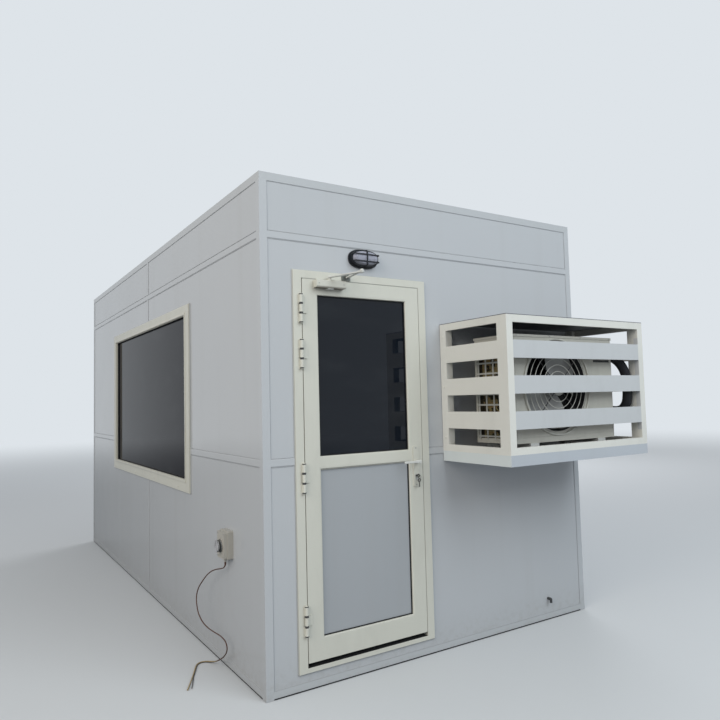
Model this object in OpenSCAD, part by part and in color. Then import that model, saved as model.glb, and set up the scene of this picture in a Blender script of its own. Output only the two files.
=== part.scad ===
// Site security booth: an insulated panel box on a channel base, with a glazed
// door, a picture window, and an outdoor cooling unit in a slatted wall cage.
// The door face looks along -Y, the window side along -X, and the origin is on
// the ground at the middle of the footprint. Lengths are in millimetres.

/* [Body] */
// Width across the door face, over the cladding
body_w = 2450; // [2440:10:2900]
// Length along the window side, over the cladding
body_l = 4770; // [4400:10:6000]
// Height from the ground to the top of the roof edge
body_h = 2760; // [2650:10:3000]
// Thickness of the insulated wall panels
wall_t = 75; // [65:5:100]
// Thickness of the insulated roof panel
roof_t = 80; // [60:5:120]

/* [Base and floor] */
// Height of the finished floor above the ground
floor_top = 92; // [80:1:110]
// Thickness of the floor board
deck_t = 18; // [12:1:25]
// Width of the base channel flanges
channel_w = 45; // [35:1:60]
// Thickness of the base channel steel
channel_t = 6; // [4:0.5:8]
// Largest spacing of the floor joists
joist_pitch = 430; // [300:10:460]

/* [Cladding trims] */
// Width of a seam cover strip and of each trim leg
trim_w = 42; // [30:1:50]
// How far a trim stands proud of the cladding
trim_t = 3; // [2:0.5:5]
// How far the roof edge trim laps over the roof panel
roof_lap = 25; // [15:1:60]
// Height of the middle of the lower seam
seam_z = 1202; // [1190:1:1205]
// Width of a cladding sheet, from seam to seam
sheet_w = 1220; // [1215:1:1240]
// Length of a cladding sheet, counted from the rear corner
sheet_l = 2440; // [2300:10:2500]

/* [Door frame] */
// Distance from the window corner to the door frame
door_x = 185; // [150:1:260]
// Overall width of the door frame
door_w = 902; // [850:1:950]
// Overall height of the door frame, from the floor up
door_h = 2150; // [2100:1:2160]
// Face width of a door jamb
jamb_w = 50; // [40:1:60]
// Face height of the door head
head_h = 42; // [38:1:60]
// Height of the threshold
sill_h = 24; // [15:1:30]
// How far the frame stands proud of the cladding
frame_proud = 12; // [8:1:16]
// Width of the stop behind the leaf
stop_w = 12; // [8:1:15]

/* [Door leaf] */
// Thickness of the leaf
leaf_t = 42; // [38:1:46]
// Gap between the leaf and the jambs, head and stop
leaf_gap = 5; // [5:0.5:6]
// Gap under the leaf
foot_gap = 24; // [20:1:28]
// Width of the leaf's stiles
stile_w = 84; // [76:1:94]
// Height of the top rail
top_rail_h = 74; // [68:1:84]
// Height of the middle rail
mid_rail_h = 46; // [36:1:60]
// Height of the bottom rail
bottom_rail_h = 108; // [96:1:124]
// Height of the middle rail's underside above the floor
mid_rail_z = 1071; // [1050:1:1080]
// Width of the glazing beads round a pane
bead_w = 12; // [8:1:16]
// Depth of the glazing beads behind the leaf's faces
bead_recess = 10; // [6:1:12]
// Depth of the glass behind the leaf's face
pane_recess = 18; // [14:1:20]
// Thickness of the glass
pane_t = 6; // [5:1:8]
// How far a pane reaches into the frame's groove
pane_edge = 10; // [6:1:12]
// Width of the black gasket round a pane
gasket_w = 5; // [4:0.5:7]

/* [Hinges] */
// Height of one hinge
hinge_h = 158; // [140:1:165]
// Foot of the lowest hinge above the floor
low_hinge_up = 192; // [170:1:260]
// Foot of the middle hinge above the floor
middle_hinge_up = 940; // [880:1:1000]
// Foot of the second hinge from the top, above the floor
high_hinge_up = 1610; // [1560:1:1640]
// Foot of the top hinge above the floor
top_hinge_up = 1859; // [1815:1:1900]
// Radius of the hinge knuckles
knuckle_r = 10; // [9:0.5:11]
// Radius of the hinge pins
hinge_pin_r = 4; // [3:0.5:5]
// Distance of the hinge axis from the jamb's inner edge
hinge_inset = 9; // [8:1:11]

/* [Lock and closer] */
// Height of the lever above the floor
lever_z = 1058; // [1040:1:1070]
// Length of the lever
lever_l = 113; // [100:1:125]
// Distance between the lever and the cylinder
lock_pitch = 85; // [72:1:92]
// Height of the lock plate
plate_h = 240; // [220:1:260]
// Width of the lock plate
plate_w = 38; // [30:1:44]
// Distance of the lock from the leaf's edge
lock_inset = 52; // [48:1:56]
// Length of the closer body
closer_l = 186; // [170:1:200]
// Height of the closer body
closer_h = 42; // [38:1:48]
// Depth of the closer body
closer_d = 44; // [40:1:50]
// Distance of the closer spindle from the hinge axis
spindle_x = 177; // [170:1:184]
// Distance of the shoe pivot from the hinge axis
shoe_x = 294; // [288:1:300]
// Distance of the arm's elbow from the hinge axis, along the wall
elbow_x = 255; // [248:1:262]
// Distance of the arm's elbow out from the closer spindle
elbow_out = 212; // [205:1:220]

/* [Window] */
// Distance from the door face to the window frame
window_y = 1205; // [1150:5:1230]
// Overall length of the window frame
window_l = 2405; // [2200:5:2450]
// Height of the window frame above the ground
window_z = 920; // [880:5:950]
// Overall height of the window frame
window_h = 1293; // [1250:1:1310]
// Width of the window frame's upright members
window_jamb = 90; // [70:1:100]
// Height of the window frame's head
window_head = 68; // [55:1:80]
// Height of the window frame's sill
window_sill = 80; // [60:1:90]
// Depth of the window glass behind the cladding
window_recess = 15; // [10:1:20]

/* [Lamp] */
// Distance of the lamp from the window corner
lamp_x = 645; // [600:1:700]
// Height of the lamp's middle above the door frame
lamp_up = 99; // [90:1:101]
// Length of the lamp base
lamp_l = 198; // [180:1:220]
// Height of the lamp base
lamp_h = 112; // [95:1:114]
// Depth of the lamp base
lamp_base_d = 22; // [18:1:30]
// Depth of the glass in front of the base
lamp_glass_d = 31; // [24:1:40]

/* [Cage] */
// Clear distance from the door frame to the cage
cage_gap = 120; // [100:1:150]
// Width of the cage
cage_w = 1226; // [1200:1:1300]
// How far the cage stands out from the wall
cage_d = 575; // [540:5:620]
// Height of the shelf's underside above the ground
cage_z = 1136; // [1120:1:1150]
// Overall height of the cage
cage_h = 847; // [840:1:900]
// Height of the shelf tray
shelf_h = 62; // [50:1:70]
// Height of the rail on the shelf
low_rail_h = 40; // [35:1:50]
// Height of the rail under the top sheet
top_rail_cage_h = 42; // [36:1:50]
// Thickness of the top sheet
top_sheet_t = 4; // [3:1:6]
// Number of slats on each side
slat_n = 3; // [2:1:5]
// Height of a slat
slat_h = 101; // [80:1:110]
// Thickness of the slats
slat_t = 20; // [14:1:26]
// Width of a front post
post_w = 48; // [40:1:56]
// Depth of a front post
post_d = 76; // [60:1:84]
// Depth of a post against the wall
wall_post_d = 55; // [45:1:65]

/* [Cooling unit] */
// Width of the casing
unit_w = 889; // [850:1:895]
// Depth of the casing
unit_d = 330; // [300:1:340]
// Height of the casing
unit_h = 631; // [615:1:645]
// Distance from the cage's left face to the casing
unit_inset = 127; // [110:1:140]
// Distance from the cage's front face to the casing
unit_setback = 81; // [70:1:95]
// Height of the feet under the casing
unit_foot_h = 52; // [45:1:62]
// Distance of the fan's axis from the casing's left side
fan_x = 360; // [340:1:380]
// Radius of the fan's opening in the casing
fan_well_r = 266; // [250:1:270]
// Depth of the fan's well
fan_well_d = 150; // [130:1:170]
// Number of fan blades
blade_n = 2; // [2:1:5]
// Clearance between the blade tips and the well
blade_gap = 12; // [8:1:20]
// Number of rings in the fan guard
ring_n = 7; // [5:1:12]
// Radius of the guard wire
wire_r = 2; // [1.5:0.5:3]
// Radius of the insulated pipe
pipe_r = 30; // [24:1:32]

/* [Switch box and cord] */
// Distance from the door face to the switch box
box_y = 436; // [400:1:480]
// Height of the switch box's underside above the ground
box_z = 630; // [600:1:700]
// Width of the switch box
box_w = 120; // [100:1:140]
// Height of the switch box
box_h = 162; // [150:1:190]
// Depth of the switch box's base
box_d = 34; // [28:1:40]
// Depth of the switch box's cover
cover_d = 20; // [15:1:26]
// Height of the knob's axis above the box's underside
knob_up = 76; // [64:1:84]
// Radius of the switch knob
knob_r = 32; // [26:1:35]
// Diameter of the power cord
cord_d = 7; // [6:0.5:9]

/* [Hidden] */

$fn = 48;

// Colours, as the object shows them
clad_col = "#dfe6ea";
trim_col = "#e6ebee";
cream_col = "#e9e7dc";
glass_col = "#2a323b";
black_col = "#1c1d1f";
steel_col = "#b9bdc0";
unit_col = "#dcdbd2";
dark_col = "#3a3d40";
brass_col = "#b8a05a";

// Fits and clearances
pin_fit = 0.05;
seat_gap = 0.3;
knuckle_gap = 1;
arm_gap = 1.5;
leaf_hinge_lift = 1.5;

// Walls
wall_top = body_h - trim_t;
ceiling_z = wall_top - roof_t;
inner_w = body_w - 2 * wall_t;
inner_l = body_l - 2 * wall_t;
seam_y = body_l - sheet_l;
strip_top = wall_top - trim_w;
seam_zs = [for (z = seam_z; z + trim_w / 2 < strip_top; z = z + sheet_w) z];
seam_n = len(seam_zs);

// Door frame and leaf, measured from the window corner
door_x1 = door_x + door_w;
door_z = floor_top;
door_z1 = door_z + door_h;
open_x = door_x + jamb_w;
open_x1 = door_x1 - jamb_w;
head_z = door_z1 - head_h;
sill_z = door_z + sill_h;
face_y = -frame_proud;
leaf_x = open_x + leaf_gap;
leaf_x1 = open_x1 - leaf_gap;
leaf_w = leaf_x1 - leaf_x;
leaf_z = sill_z + foot_gap;
leaf_z1 = head_z - leaf_gap;
leaf_h = leaf_z1 - leaf_z;
leaf_back = face_y + leaf_t;
stop_y = leaf_back + leaf_gap;
sight_x = leaf_x + stile_w + bead_w;
sight_w = leaf_w - 2 * (stile_w + bead_w);
panel_z = leaf_z + bottom_rail_h + bead_w;
mid_z = floor_top + mid_rail_z;
panel_h = mid_z - bead_w - panel_z;
glass_z = mid_z + mid_rail_h + bead_w;
glass_h = leaf_z1 - top_rail_h - bead_w - glass_z;
pane_y = face_y + pane_recess;
pane_back = pane_y + pane_t;
bead_front = min(bead_recess, pane_recess - 4);
bead_back = min(bead_recess, leaf_back - pane_back - 4);

// Hinges: the leaf turns about this line
hinge_x = open_x - hinge_inset;
hinge_y = face_y - knuckle_r - leaf_hinge_lift;
hinge_zs = [for (up = [low_hinge_up, middle_hinge_up, high_hinge_up, top_hinge_up]) floor_top + up];
knuckle_h = (hinge_h - 2 * knuckle_gap) / 3;
pad_w = knuckle_r + min(knuckle_r, hinge_inset);
wing_t = 4;
wing_lift = 2;
wing_reach = 24;
wing_step = 2;
pin_cap_r = 6;
pin_cap_h = 3;

// Lock furniture on the stile
lock_x = leaf_x1 - lock_inset;
handle_z = floor_top + lever_z;
cylinder_z = handle_z - lock_pitch;
plate_t = 7;
plate_drop = 40;
lever_out = 46;
lever_t = 12;
lever_hub_r = 11;
lever_neck_r = 8;
cylinder_r = 8.5;
cylinder_web = 10;
cylinder_h = 33;
cylinder_out = 3;
plug_r = 6;
plug_l = 30;
key_t = 2;
key_bow_r = 12;
ring_r = 12;
ring_wire_r = 1;

// Closer, on the top rail: distances are from the hinge axis
closer_up = 28;
spindle_off = 2;
closer_y = face_y - closer_d;
closer_z = leaf_z1 - top_rail_h + closer_up;
closer_top = closer_z + closer_h;
pivot_y = face_y - closer_d / 2 - spindle_off;
spindle = [hinge_x + spindle_x, pivot_y];
shoe_pivot = [hinge_x + shoe_x, pivot_y];
elbow = [hinge_x + elbow_x, pivot_y - elbow_out];
arm_t = 6;
arm_w = 22;
arm_z = leaf_z1 + 13;
forearm_z = arm_z + arm_t + arm_gap;
spindle_r = 7;
shoe_pin_r = 4;
shoe_plate_t = 6;
shoe_w = 56;
lug_r = 13;

// Window, measured from the door face and out of the cladding
window_y1 = window_y + window_l;
window_z1 = window_z + window_h;
window_sight_y = window_y + window_jamb;
window_sight_l = window_l - 2 * window_jamb;
window_sight_z = window_z + window_sill;
window_sight_h = window_h - window_sill - window_head;

// Lamp
lamp_z = door_z1 + lamp_up;
lamp_steps = 48;
dome_rings = 7;
dome_shrink = 0.78;
lamp_step = 6;
lamp_rim = 9;
guard_bar = 6;
guard_t = 5;
guard_gap = 1;
guard_foot = 10;
guard_rim_in = 8;
guard_shoulder = 8;
glass_a = lamp_l / 2 - lamp_rim - lamp_step;
glass_b = lamp_h / 2 - lamp_rim - lamp_step;

// Cage
cage_x = door_x1 + cage_gap;
cage_x1 = cage_x + cage_w;
cage_back = -trim_t;
cage_z1 = cage_z + cage_h;
shelf_top = cage_z + shelf_h;
slats_z = shelf_top + low_rail_h;
top_rail_z = cage_z1 - top_sheet_t - top_rail_cage_h;
slat_space = (top_rail_z - slats_z - slat_n * slat_h) / (slat_n + 1);
tray_t = 4;

// Cooling unit
unit_x = cage_x + unit_inset;
unit_x1 = unit_x + unit_w;
unit_y = -cage_d + unit_setback;
unit_y1 = unit_y + unit_d;
unit_z = shelf_top + unit_foot_h;
unit_z1 = unit_z + unit_h;
unit_corner_r = 18;
lid_t = 14;
lid_lip = 4;
pan_h = 31;
groove_h = 2.5;
groove_d = 2;
fan_drop = 27;
fan_pos = [unit_x + fan_x, unit_y, unit_z1 - lid_t - fan_drop - fan_well_r];
fan_r = fan_well_r - blade_gap;
hub_r = 62;
hub_h = 46;
hub_set = 34;
motor_r = 58;
shaft_r = 6;
coil_t = 14;
coil_frame = 28;
guard_out = 10;
guard_wire_r = wire_r;
guard_first_r = 52;
guard_lap = 19;
guard_edge = 4;
spoke_n = 4;
spoke_w = 3;
grid_pitch = 62;
grid_w = 10;
grid_t = 4;
valve_in = 164;
valve_up = 180;
valve_y = unit_y + valve_in;
valve_z = unit_z + valve_up;
valve_out = 28;
valve_half_w = 50;
valve_h = 170;
valve_drop = 75;
handle_gap = 20;
handle_w = 40;
handle_h = 80;
handle_t = 12;
pipe_post_gap = 6;
pipe_slat_gap = 18;
pipe_side_gap = 22;
pipe_sides = 16;
pipe_steps = 3;
pipe_rise = 335;
pipe_near = unit_x1 + pipe_side_gap + pipe_r;
pipe_far = cage_x1 - post_w - pipe_post_gap - pipe_r;
pipe_front = -cage_d + slat_t + pipe_slat_gap + pipe_r;

// A point of the pipe: shares of the way to the post, to the slats and up to the wall hole
function pipe_at(across, out, up) = [
    pipe_near + across * (pipe_far - pipe_near),
    valve_y + out * (pipe_front - valve_y),
    valve_z + up * pipe_rise
];
pipe_route = [
    for (out = [0, 0.3, 0.6]) [unit_x1 + valve_out + out * pipe_r, valve_y, valve_z],
    pipe_at(0.34, 0.08, -0.01), pipe_at(0.64, 0.3, -0.04), pipe_at(0.76, 0.57, -0.055),
    pipe_at(0.86, 0.8, -0.02), pipe_at(0.97, 0.95, 0.1), pipe_at(1, 1, 0.3), pipe_at(1, 1, 0.52),
    pipe_at(0.86, 0.94, 0.73), pipe_at(0.52, 0.79, 0.91), pipe_at(0.17, 0.48, 1.03),
    pipe_at(0, 0.04, 1.06), [pipe_near, valve_y * 2 / 3, valve_z + 1.05 * pipe_rise],
    for (in = [1 / 3, 1 / 6, 0]) [pipe_near, valve_y * in, valve_z + pipe_rise]
];

// Switch box on the window side
box_c_y = box_y + box_w / 2;
knob_z = box_z + knob_up;
knob_h = 18;
knob_shaft_r = 5;
gland_r = 11;
gland_h = 20;
gland_nut = 8;
gland_x = -box_d / 2 - 10;

// Cord route, out of the gland and over the ground, from the window corner
cord_r = cord_d / 2;
cord_sides = 8;
cord_steps = 2;
cord_route = [
    [-27, 496, 610], [-27, 497, 597], [-28, 503, 585], [-31, 517, 573], [-37, 550, 562],
    [-46, 600, 549], [-56, 650, 530], [-68, 702, 497], [-80, 750, 452], [-91, 786, 408],
    [-99, 800, 362], [-103, 787, 314], [-102, 756, 266], [-95, 708, 230], [-84, 645, 210],
    [-72, 572, 203], [-60, 504, 199], [-51, 450, 184], [-47, 430, 154], [-47, 442, 120],
    [-49, 490, 80], [-51, 552, 46], [-54, 608, 21], [-63, 654, 8], [-86, 684, 4],
    [-120, 688, 4], [-148, 662, 4], [-172, 614, 4], [-198, 558, 4], [-228, 496, 4],
    [-260, 432, 4], [-290, 372, 4]
];

// Moves a part from the window corner of the door face to the object's frame
module at_corner() {
    translate([-body_w / 2, -body_l / 2, 0])
        children();
}

// A slab between two opposite corners
module slab(low, high) {
    translate(low)
        cube(high - low);
}

// A flat rectangle with round corners
module rounded_rect(size, r) {
    hull_x = [r, size[0] - r];
    hull_y = [r, size[1] - r];
    union() {
        translate([r, 0])
            square([size[0] - 2 * r, size[1]]);
        translate([0, r])
            square([size[0], size[1] - 2 * r]);
        for (x = hull_x, y = hull_y)
            translate([x, y])
                circle(r = r);
    }
}

// A shape drawn in x and z, made thick from y to y + depth
module extrude_y(y, depth) {
    translate([0, y + depth, 0])
        rotate([90, 0, 0])
            linear_extrude(depth)
                children();
}

// A shape drawn in y and z, made thick from x to x + depth
module extrude_x(x, depth) {
    translate([x, 0, 0])
        rotate([90, 0, 90])
            linear_extrude(depth)
                children();
}

// A rectangular ring in x and z
module ring_xz(x, z, w, h, edge) {
    difference() {
        translate([x, z])
            square([w, h]);
        translate([x + edge, z + edge])
            square([w - 2 * edge, h - 2 * edge]);
    }
}

// A round bar along y
module bar_y(x, y, z, r, len) {
    translate([x, y, z])
        rotate([-90, 0, 0])
            cylinder(r = r, h = len);
}

// A round bar along x
module bar_x(x, y, z, r, len) {
    translate([x, y, z])
        rotate([0, 90, 0])
            cylinder(r = r, h = len);
}

// Base and floor

module base_channel(len) {
    depth = floor_top - deck_t;
    difference() {
        cube([channel_w, len, depth]);
        translate([channel_t, -1, channel_t])
            cube([channel_w, len + 2, depth - 2 * channel_t]);
    }
}

module base_frame() {
    joist_n = 2 * ceil((inner_l - channel_w) / joist_pitch / 2);
    step = (inner_l - channel_w) / joist_n;
    depth = floor_top - deck_t;
    color(dark_col)
        at_corner()
            translate([wall_t, wall_t, 0]) {
                base_channel(inner_l);
                translate([inner_w, 0, 0])
                    mirror([1, 0, 0])
                        base_channel(inner_l);
                for (i = [0:joist_n])
                    translate([channel_t, i * step, 0])
                        difference() {
                            cube([inner_w - 2 * channel_t, channel_w, depth]);
                            translate([-1, channel_t, channel_t])
                                cube([inner_w, channel_w, depth - 2 * channel_t]);
                        }
            }
}

module floor_deck() {
    color("#8b8f90")
        at_corner()
            slab([wall_t, wall_t, floor_top - deck_t], [body_w - wall_t, body_l - wall_t, floor_top]);
}

// Walls and roof

module front_piece(x0, x1, z0, z1) {
    color(clad_col)
        at_corner()
            slab([x0, 0, z0], [x1, wall_t, z1]);
}

module front_wall_left() {
    front_piece(0, door_x, 0, wall_top);
}

module front_wall_right() {
    front_piece(door_x1, body_w, 0, wall_top);
}

module front_wall_over_door() {
    front_piece(door_x, door_x1, door_z1, wall_top);
}

module front_wall_below_door() {
    front_piece(door_x, door_x1, 0, door_z);
}

module left_piece(y0, y1, z0, z1) {
    color(clad_col)
        at_corner()
            slab([0, y0, z0], [wall_t, y1, z1]);
}

module left_wall_front() {
    left_piece(wall_t, window_y, 0, wall_top);
}

module left_wall_rear() {
    left_piece(window_y1, body_l - wall_t, 0, wall_top);
}

module left_wall_below_window() {
    left_piece(window_y, window_y1, 0, window_z);
}

module left_wall_over_window() {
    left_piece(window_y, window_y1, window_z1, wall_top);
}

module right_wall() {
    color(clad_col)
        at_corner()
            slab([body_w - wall_t, wall_t, 0], [body_w, body_l - wall_t, wall_top]);
}

module back_wall() {
    color(clad_col)
        at_corner()
            slab([0, body_l - wall_t, 0], [body_w, body_l, wall_top]);
}

module roof_panel() {
    color(clad_col)
        at_corner()
            slab([wall_t, wall_t, ceiling_z], [body_w - wall_t, body_l - wall_t, wall_top]);
}

// Trims

module corner_trims() {
    color(trim_col)
        for (sx = [0, 1], sy = [0, 1])
            mirror([sx, 0, 0])
                mirror([0, sy, 0])
                    at_corner()
                        linear_extrude(strip_top)
                            polygon([
                                [-trim_t, -trim_t], [trim_w, -trim_t], [trim_w, 0],
                                [0, 0], [0, trim_w], [-trim_t, trim_w]
                            ]);
}

// One ring of angle round the roof edge and a flat band round the foot
module edge_trims() {
    lip = wall_t + roof_lap;
    color(trim_col)
        at_corner() {
            difference() {
                slab([-trim_t, -trim_t, strip_top], [body_w + trim_t, body_l + trim_t, body_h]);
                slab([0, 0, strip_top - 1], [body_w, body_l, wall_top]);
                slab([lip, lip, wall_top - 1], [body_w - lip, body_l - lip, body_h + 1]);
            }
            for (y = [-trim_t, body_l])
                slab([trim_w, y, 0], [body_w - trim_w, y + trim_t, trim_w]);
            for (x = [-trim_t, body_w])
                slab([x, trim_w, 0], [x + trim_t, body_l - trim_w, trim_w]);
        }
}

// The section of a seam cover: a low trapezium, centred, standing along +y
module strip_section() {
    slope = 4;
    polygon([
        [-trim_w / 2, 0], [trim_w / 2, 0],
        [trim_w / 2 - slope, trim_t], [-trim_w / 2 + slope, trim_t]
    ]);
}

// A cover strip on the door face or the back, running along x
module strip_along_x(x0, x1, z, back = false) {
    translate([x0, back ? body_l : 0, z])
        rotate([0, 90, 0])
            mirror([0, back ? 0 : 1, 0])
                linear_extrude(x1 - x0)
                    strip_section();
}

// A cover strip on a long side, running along y
module strip_along_y(y0, y1, z, right = false) {
    translate([right ? body_w : 0, y0, z])
        rotate([-90, 0, 0])
            rotate([0, 0, right ? -90 : 90])
                linear_extrude(y1 - y0)
                    strip_section();
}

// A cover strip on a long side, running up
module strip_up(z0, z1, right = false) {
    translate([right ? body_w : 0, seam_y, z0])
        rotate([0, 0, right ? -90 : 90])
            linear_extrude(z1 - z0)
                strip_section();
}

// The stretches between the horizontal strips, from the foot band to the roof edge
function seam_band(i) = [
    i == 0 ? trim_w : seam_zs[i - 1] + trim_w / 2,
    i == seam_n ? strip_top : seam_zs[i] - trim_w / 2
];

function inside(v, low, high) = v > low && v < high;

module seam_strips() {
    color(trim_col)
        at_corner() {
            for (z = seam_zs) {
                if (inside(z, door_z, door_z1)) {
                    strip_along_x(trim_w, door_x, z);
                    strip_along_x(door_x1, body_w - trim_w, z);
                } else {
                    strip_along_x(trim_w, body_w - trim_w, z);
                }
                if (inside(z, window_z, window_z1)) {
                    strip_along_y(trim_w, window_y, z);
                    strip_along_y(window_y1, body_l - trim_w, z);
                } else {
                    strip_along_y(trim_w, body_l - trim_w, z);
                }
                strip_along_y(trim_w, body_l - trim_w, z, right = true);
                strip_along_x(trim_w, body_w - trim_w, z, back = true);
            }
            for (i = [0:seam_n])
                let (band = seam_band(i)) {
                    strip_up(band[0], band[1], right = true);
                    if (!inside(seam_y, window_y, window_y1))
                        strip_up(band[0], band[1]);
                    else {
                        if (band[0] < window_z)
                            strip_up(band[0], min(band[1], window_z));
                        if (band[1] > window_z1)
                            strip_up(max(band[0], window_z1), band[1]);
                    }
                }
        }
}

// Door frame

// Plan section of a jamb, with the stop behind the leaf
module jamb_section() {
    polygon([
        [0, face_y], [jamb_w, face_y], [jamb_w, stop_y], [jamb_w + stop_w, stop_y],
        [jamb_w + stop_w, wall_t], [0, wall_t]
    ]);
}

module hinge_jamb() {
    color(cream_col)
        at_corner()
            translate([door_x, 0, door_z])
                linear_extrude(head_z - door_z)
                    jamb_section();
}

module latch_jamb() {
    color(cream_col)
        at_corner()
            translate([door_x1, 0, door_z])
                mirror([1, 0, 0])
                    linear_extrude(head_z - door_z)
                        jamb_section();
}

module door_head() {
    color(cream_col)
        at_corner() {
            slab([door_x, face_y, head_z], [door_x1, wall_t, door_z1]);
            slab([open_x + stop_w, stop_y, head_z - stop_w], [open_x1 - stop_w, wall_t, head_z]);
        }
}

// The stop of the threshold stands as high behind the leaf as the jambs' stops stand wide
module threshold() {
    color(cream_col)
        at_corner() {
            slab([open_x, face_y, door_z], [open_x1, stop_y, sill_z]);
            slab([open_x + stop_w, stop_y, door_z], [open_x1 - stop_w, wall_t, leaf_z + stop_w]);
        }
}

// Door leaf

// Sight openings of the glass and of the lower panel, in x and z
sight_openings = [[glass_z, glass_h], [panel_z, panel_h]];

module leaf_frame() {
    color(cream_col)
        at_corner()
            difference() {
                slab([leaf_x, face_y, leaf_z], [leaf_x1, leaf_back, leaf_z1]);
                for (o = sight_openings) {
                    slab([sight_x, face_y - 1, o[0]], [sight_x + sight_w, leaf_back + 1, o[0] + o[1]]);
                    slab([sight_x - pane_edge, pane_y, o[0] - pane_edge],
                         [sight_x + sight_w + pane_edge, pane_back, o[0] + o[1] + pane_edge]);
                    bead_rebate(o, face_y - 1, face_y + bead_front);
                    bead_rebate(o, leaf_back - bead_back, leaf_back + 1);
                }
                bar_y(lock_x, face_y - 1, handle_z, lever_neck_r + 1, leaf_t + 2);
                cylinder_hole();
            }
}

// The step in a face of the leaf round an opening, down to the glazing beads
module bead_rebate(o, y0, y1) {
    slab([sight_x - bead_w, y0, o[0] - bead_w], [sight_x + sight_w + bead_w, y1, o[0] + o[1] + bead_w]);
}

// The keyhole-shaped cut for the lock cylinder
module cylinder_hole() {
    translate([lock_x, 0, cylinder_z])
        extrude_y(face_y - 1, leaf_t + 2)
            cylinder_section(seat_gap);
}

module cylinder_section(grow) {
    circle(r = cylinder_r + grow);
    translate([-cylinder_web / 2 - grow, -cylinder_h + cylinder_r - grow])
        square([cylinder_web + 2 * grow, cylinder_h - cylinder_r]);
}

module pane(z, h) {
    slab([sight_x - pane_edge, pane_y, z - pane_edge],
         [sight_x + sight_w + pane_edge, pane_back, z + h + pane_edge]);
}

module leaf_glass() {
    color(glass_col)
        at_corner()
            pane(glass_z, glass_h);
}

module leaf_panel() {
    color(clad_col)
        at_corner()
            pane(panel_z, panel_h);
}

// Black gaskets lining both sides of the two openings
module leaf_gaskets() {
    set_back = 1;
    front = face_y + bead_front + set_back;
    back = leaf_back - bead_back - set_back;
    color(black_col)
        at_corner()
            for (o = sight_openings) {
                extrude_y(front, pane_y - front)
                    ring_xz(sight_x, o[0], sight_w, o[1], gasket_w);
                extrude_y(pane_back, back - pane_back)
                    ring_xz(sight_x, o[0], sight_w, o[1], gasket_w);
            }
}

// Hinges

// The two outer knuckles with their pads on the jamb, and the pin through all three
module frame_hinges() {
    color(cream_col)
        at_corner()
            for (z = hinge_zs) {
                for (k = [0, 2])
                    translate([hinge_x, hinge_y, z + k * (knuckle_h + knuckle_gap)]) {
                        cylinder(r = knuckle_r, h = knuckle_h);
                        translate([-knuckle_r, 0, 0])
                            cube([pad_w, face_y - hinge_y, knuckle_h]);
                    }
                translate([hinge_x, hinge_y, z - pin_cap_h])
                    cylinder(r = pin_cap_r, h = pin_cap_h);
                translate([hinge_x, hinge_y, z])
                    cylinder(r = hinge_pin_r, h = hinge_h);
                translate([hinge_x, hinge_y, z + hinge_h])
                    cylinder(r = pin_cap_r, h = pin_cap_h);
            }
}

// The middle knuckles, each with a wing that crosses the gap to the leaf's face
module leaf_hinges() {
    color(cream_col)
        at_corner()
            for (z = hinge_zs)
                translate([hinge_x, 0, z + knuckle_h + knuckle_gap])
                    difference() {
                        union() {
                            translate([0, hinge_y, 0])
                                cylinder(r = knuckle_r, h = knuckle_h);
                            slab([0, face_y - wing_lift - wing_t, 0],
                                 [leaf_x - hinge_x + wing_reach, face_y - wing_lift, knuckle_h]);
                            slab([leaf_x - hinge_x + wing_step, face_y - wing_lift - wing_t, 0],
                                 [leaf_x - hinge_x + wing_reach, face_y, knuckle_h]);
                        }
                        translate([0, hinge_y, -1])
                            cylinder(r = hinge_pin_r + pin_fit, h = knuckle_h + 2);
                    }
}

// Lock furniture

module lock_plate(y) {
    difference() {
        translate([lock_x - plate_w / 2, 0, cylinder_z - plate_drop - cylinder_h + cylinder_r])
            extrude_y(y, plate_t)
                rounded_rect([plate_w, plate_h], 8);
        bar_y(lock_x, y - 1, handle_z, lever_neck_r + pin_fit, plate_t + 2);
        translate([lock_x, 0, cylinder_z])
            extrude_y(y - 1, plate_t + 2)
                cylinder_section(seat_gap);
    }
}

module lock_plates() {
    color("#e4e4de")
        at_corner() {
            lock_plate(face_y - plate_t);
            lock_plate(leaf_back);
        }
}

module lock_cylinder() {
    out_y = face_y - plate_t - cylinder_out;
    color(steel_col)
        at_corner()
            difference() {
                translate([lock_x, 0, cylinder_z])
                    extrude_y(out_y, leaf_t + 2 * (plate_t + cylinder_out))
                        cylinder_section(0);
                bar_y(lock_x, out_y - 1, cylinder_z, plug_r + pin_fit, plug_l + 1);
            }
}

// The plug that the key turns, flush with the cylinder's face
module lock_plug() {
    color(brass_col)
        at_corner()
            bar_y(lock_x, face_y - plate_t - cylinder_out, cylinder_z, plug_r, plug_l - 1);
}

// A key in the plug, a ring through its bow, and a second key hanging from the ring
module keys() {
    out_y = face_y - plate_t - cylinder_out;
    bow_y = out_y - 6 - key_bow_r;
    ring_z = cylinder_z - ring_r + 5;
    color(brass_col)
        at_corner() {
            translate([lock_x, 0, 0]) {
                slab([-key_t / 2, out_y - 7, cylinder_z - 4], [key_t / 2, out_y, cylinder_z + 4]);
                key_bow(bow_y, cylinder_z);
                translate([0, bow_y - 5, ring_z])
                    rotate([90, 0, 0])
                        rotate_extrude()
                            translate([ring_r, 0])
                                circle(r = ring_wire_r, $fn = 16);
                translate([0, bow_y - 5, ring_z - 2 * ring_r + 6]) {
                    rotate([0, 0, 90])
                        key_bow(0, 0);
                    slab([-4, -key_t / 2, -key_bow_r - 28], [4, key_t / 2, -key_bow_r + 2]);
                }
            }
        }
}

module key_bow(y, z) {
    translate([0, y, z])
        rotate([0, 90, 0])
            difference() {
                translate([0, 0, -key_t / 2])
                    cylinder(r = key_bow_r, h = key_t);
                translate([0, 0, -key_t])
                    cylinder(r = 4, h = 2 * key_t);
            }
}

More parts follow.
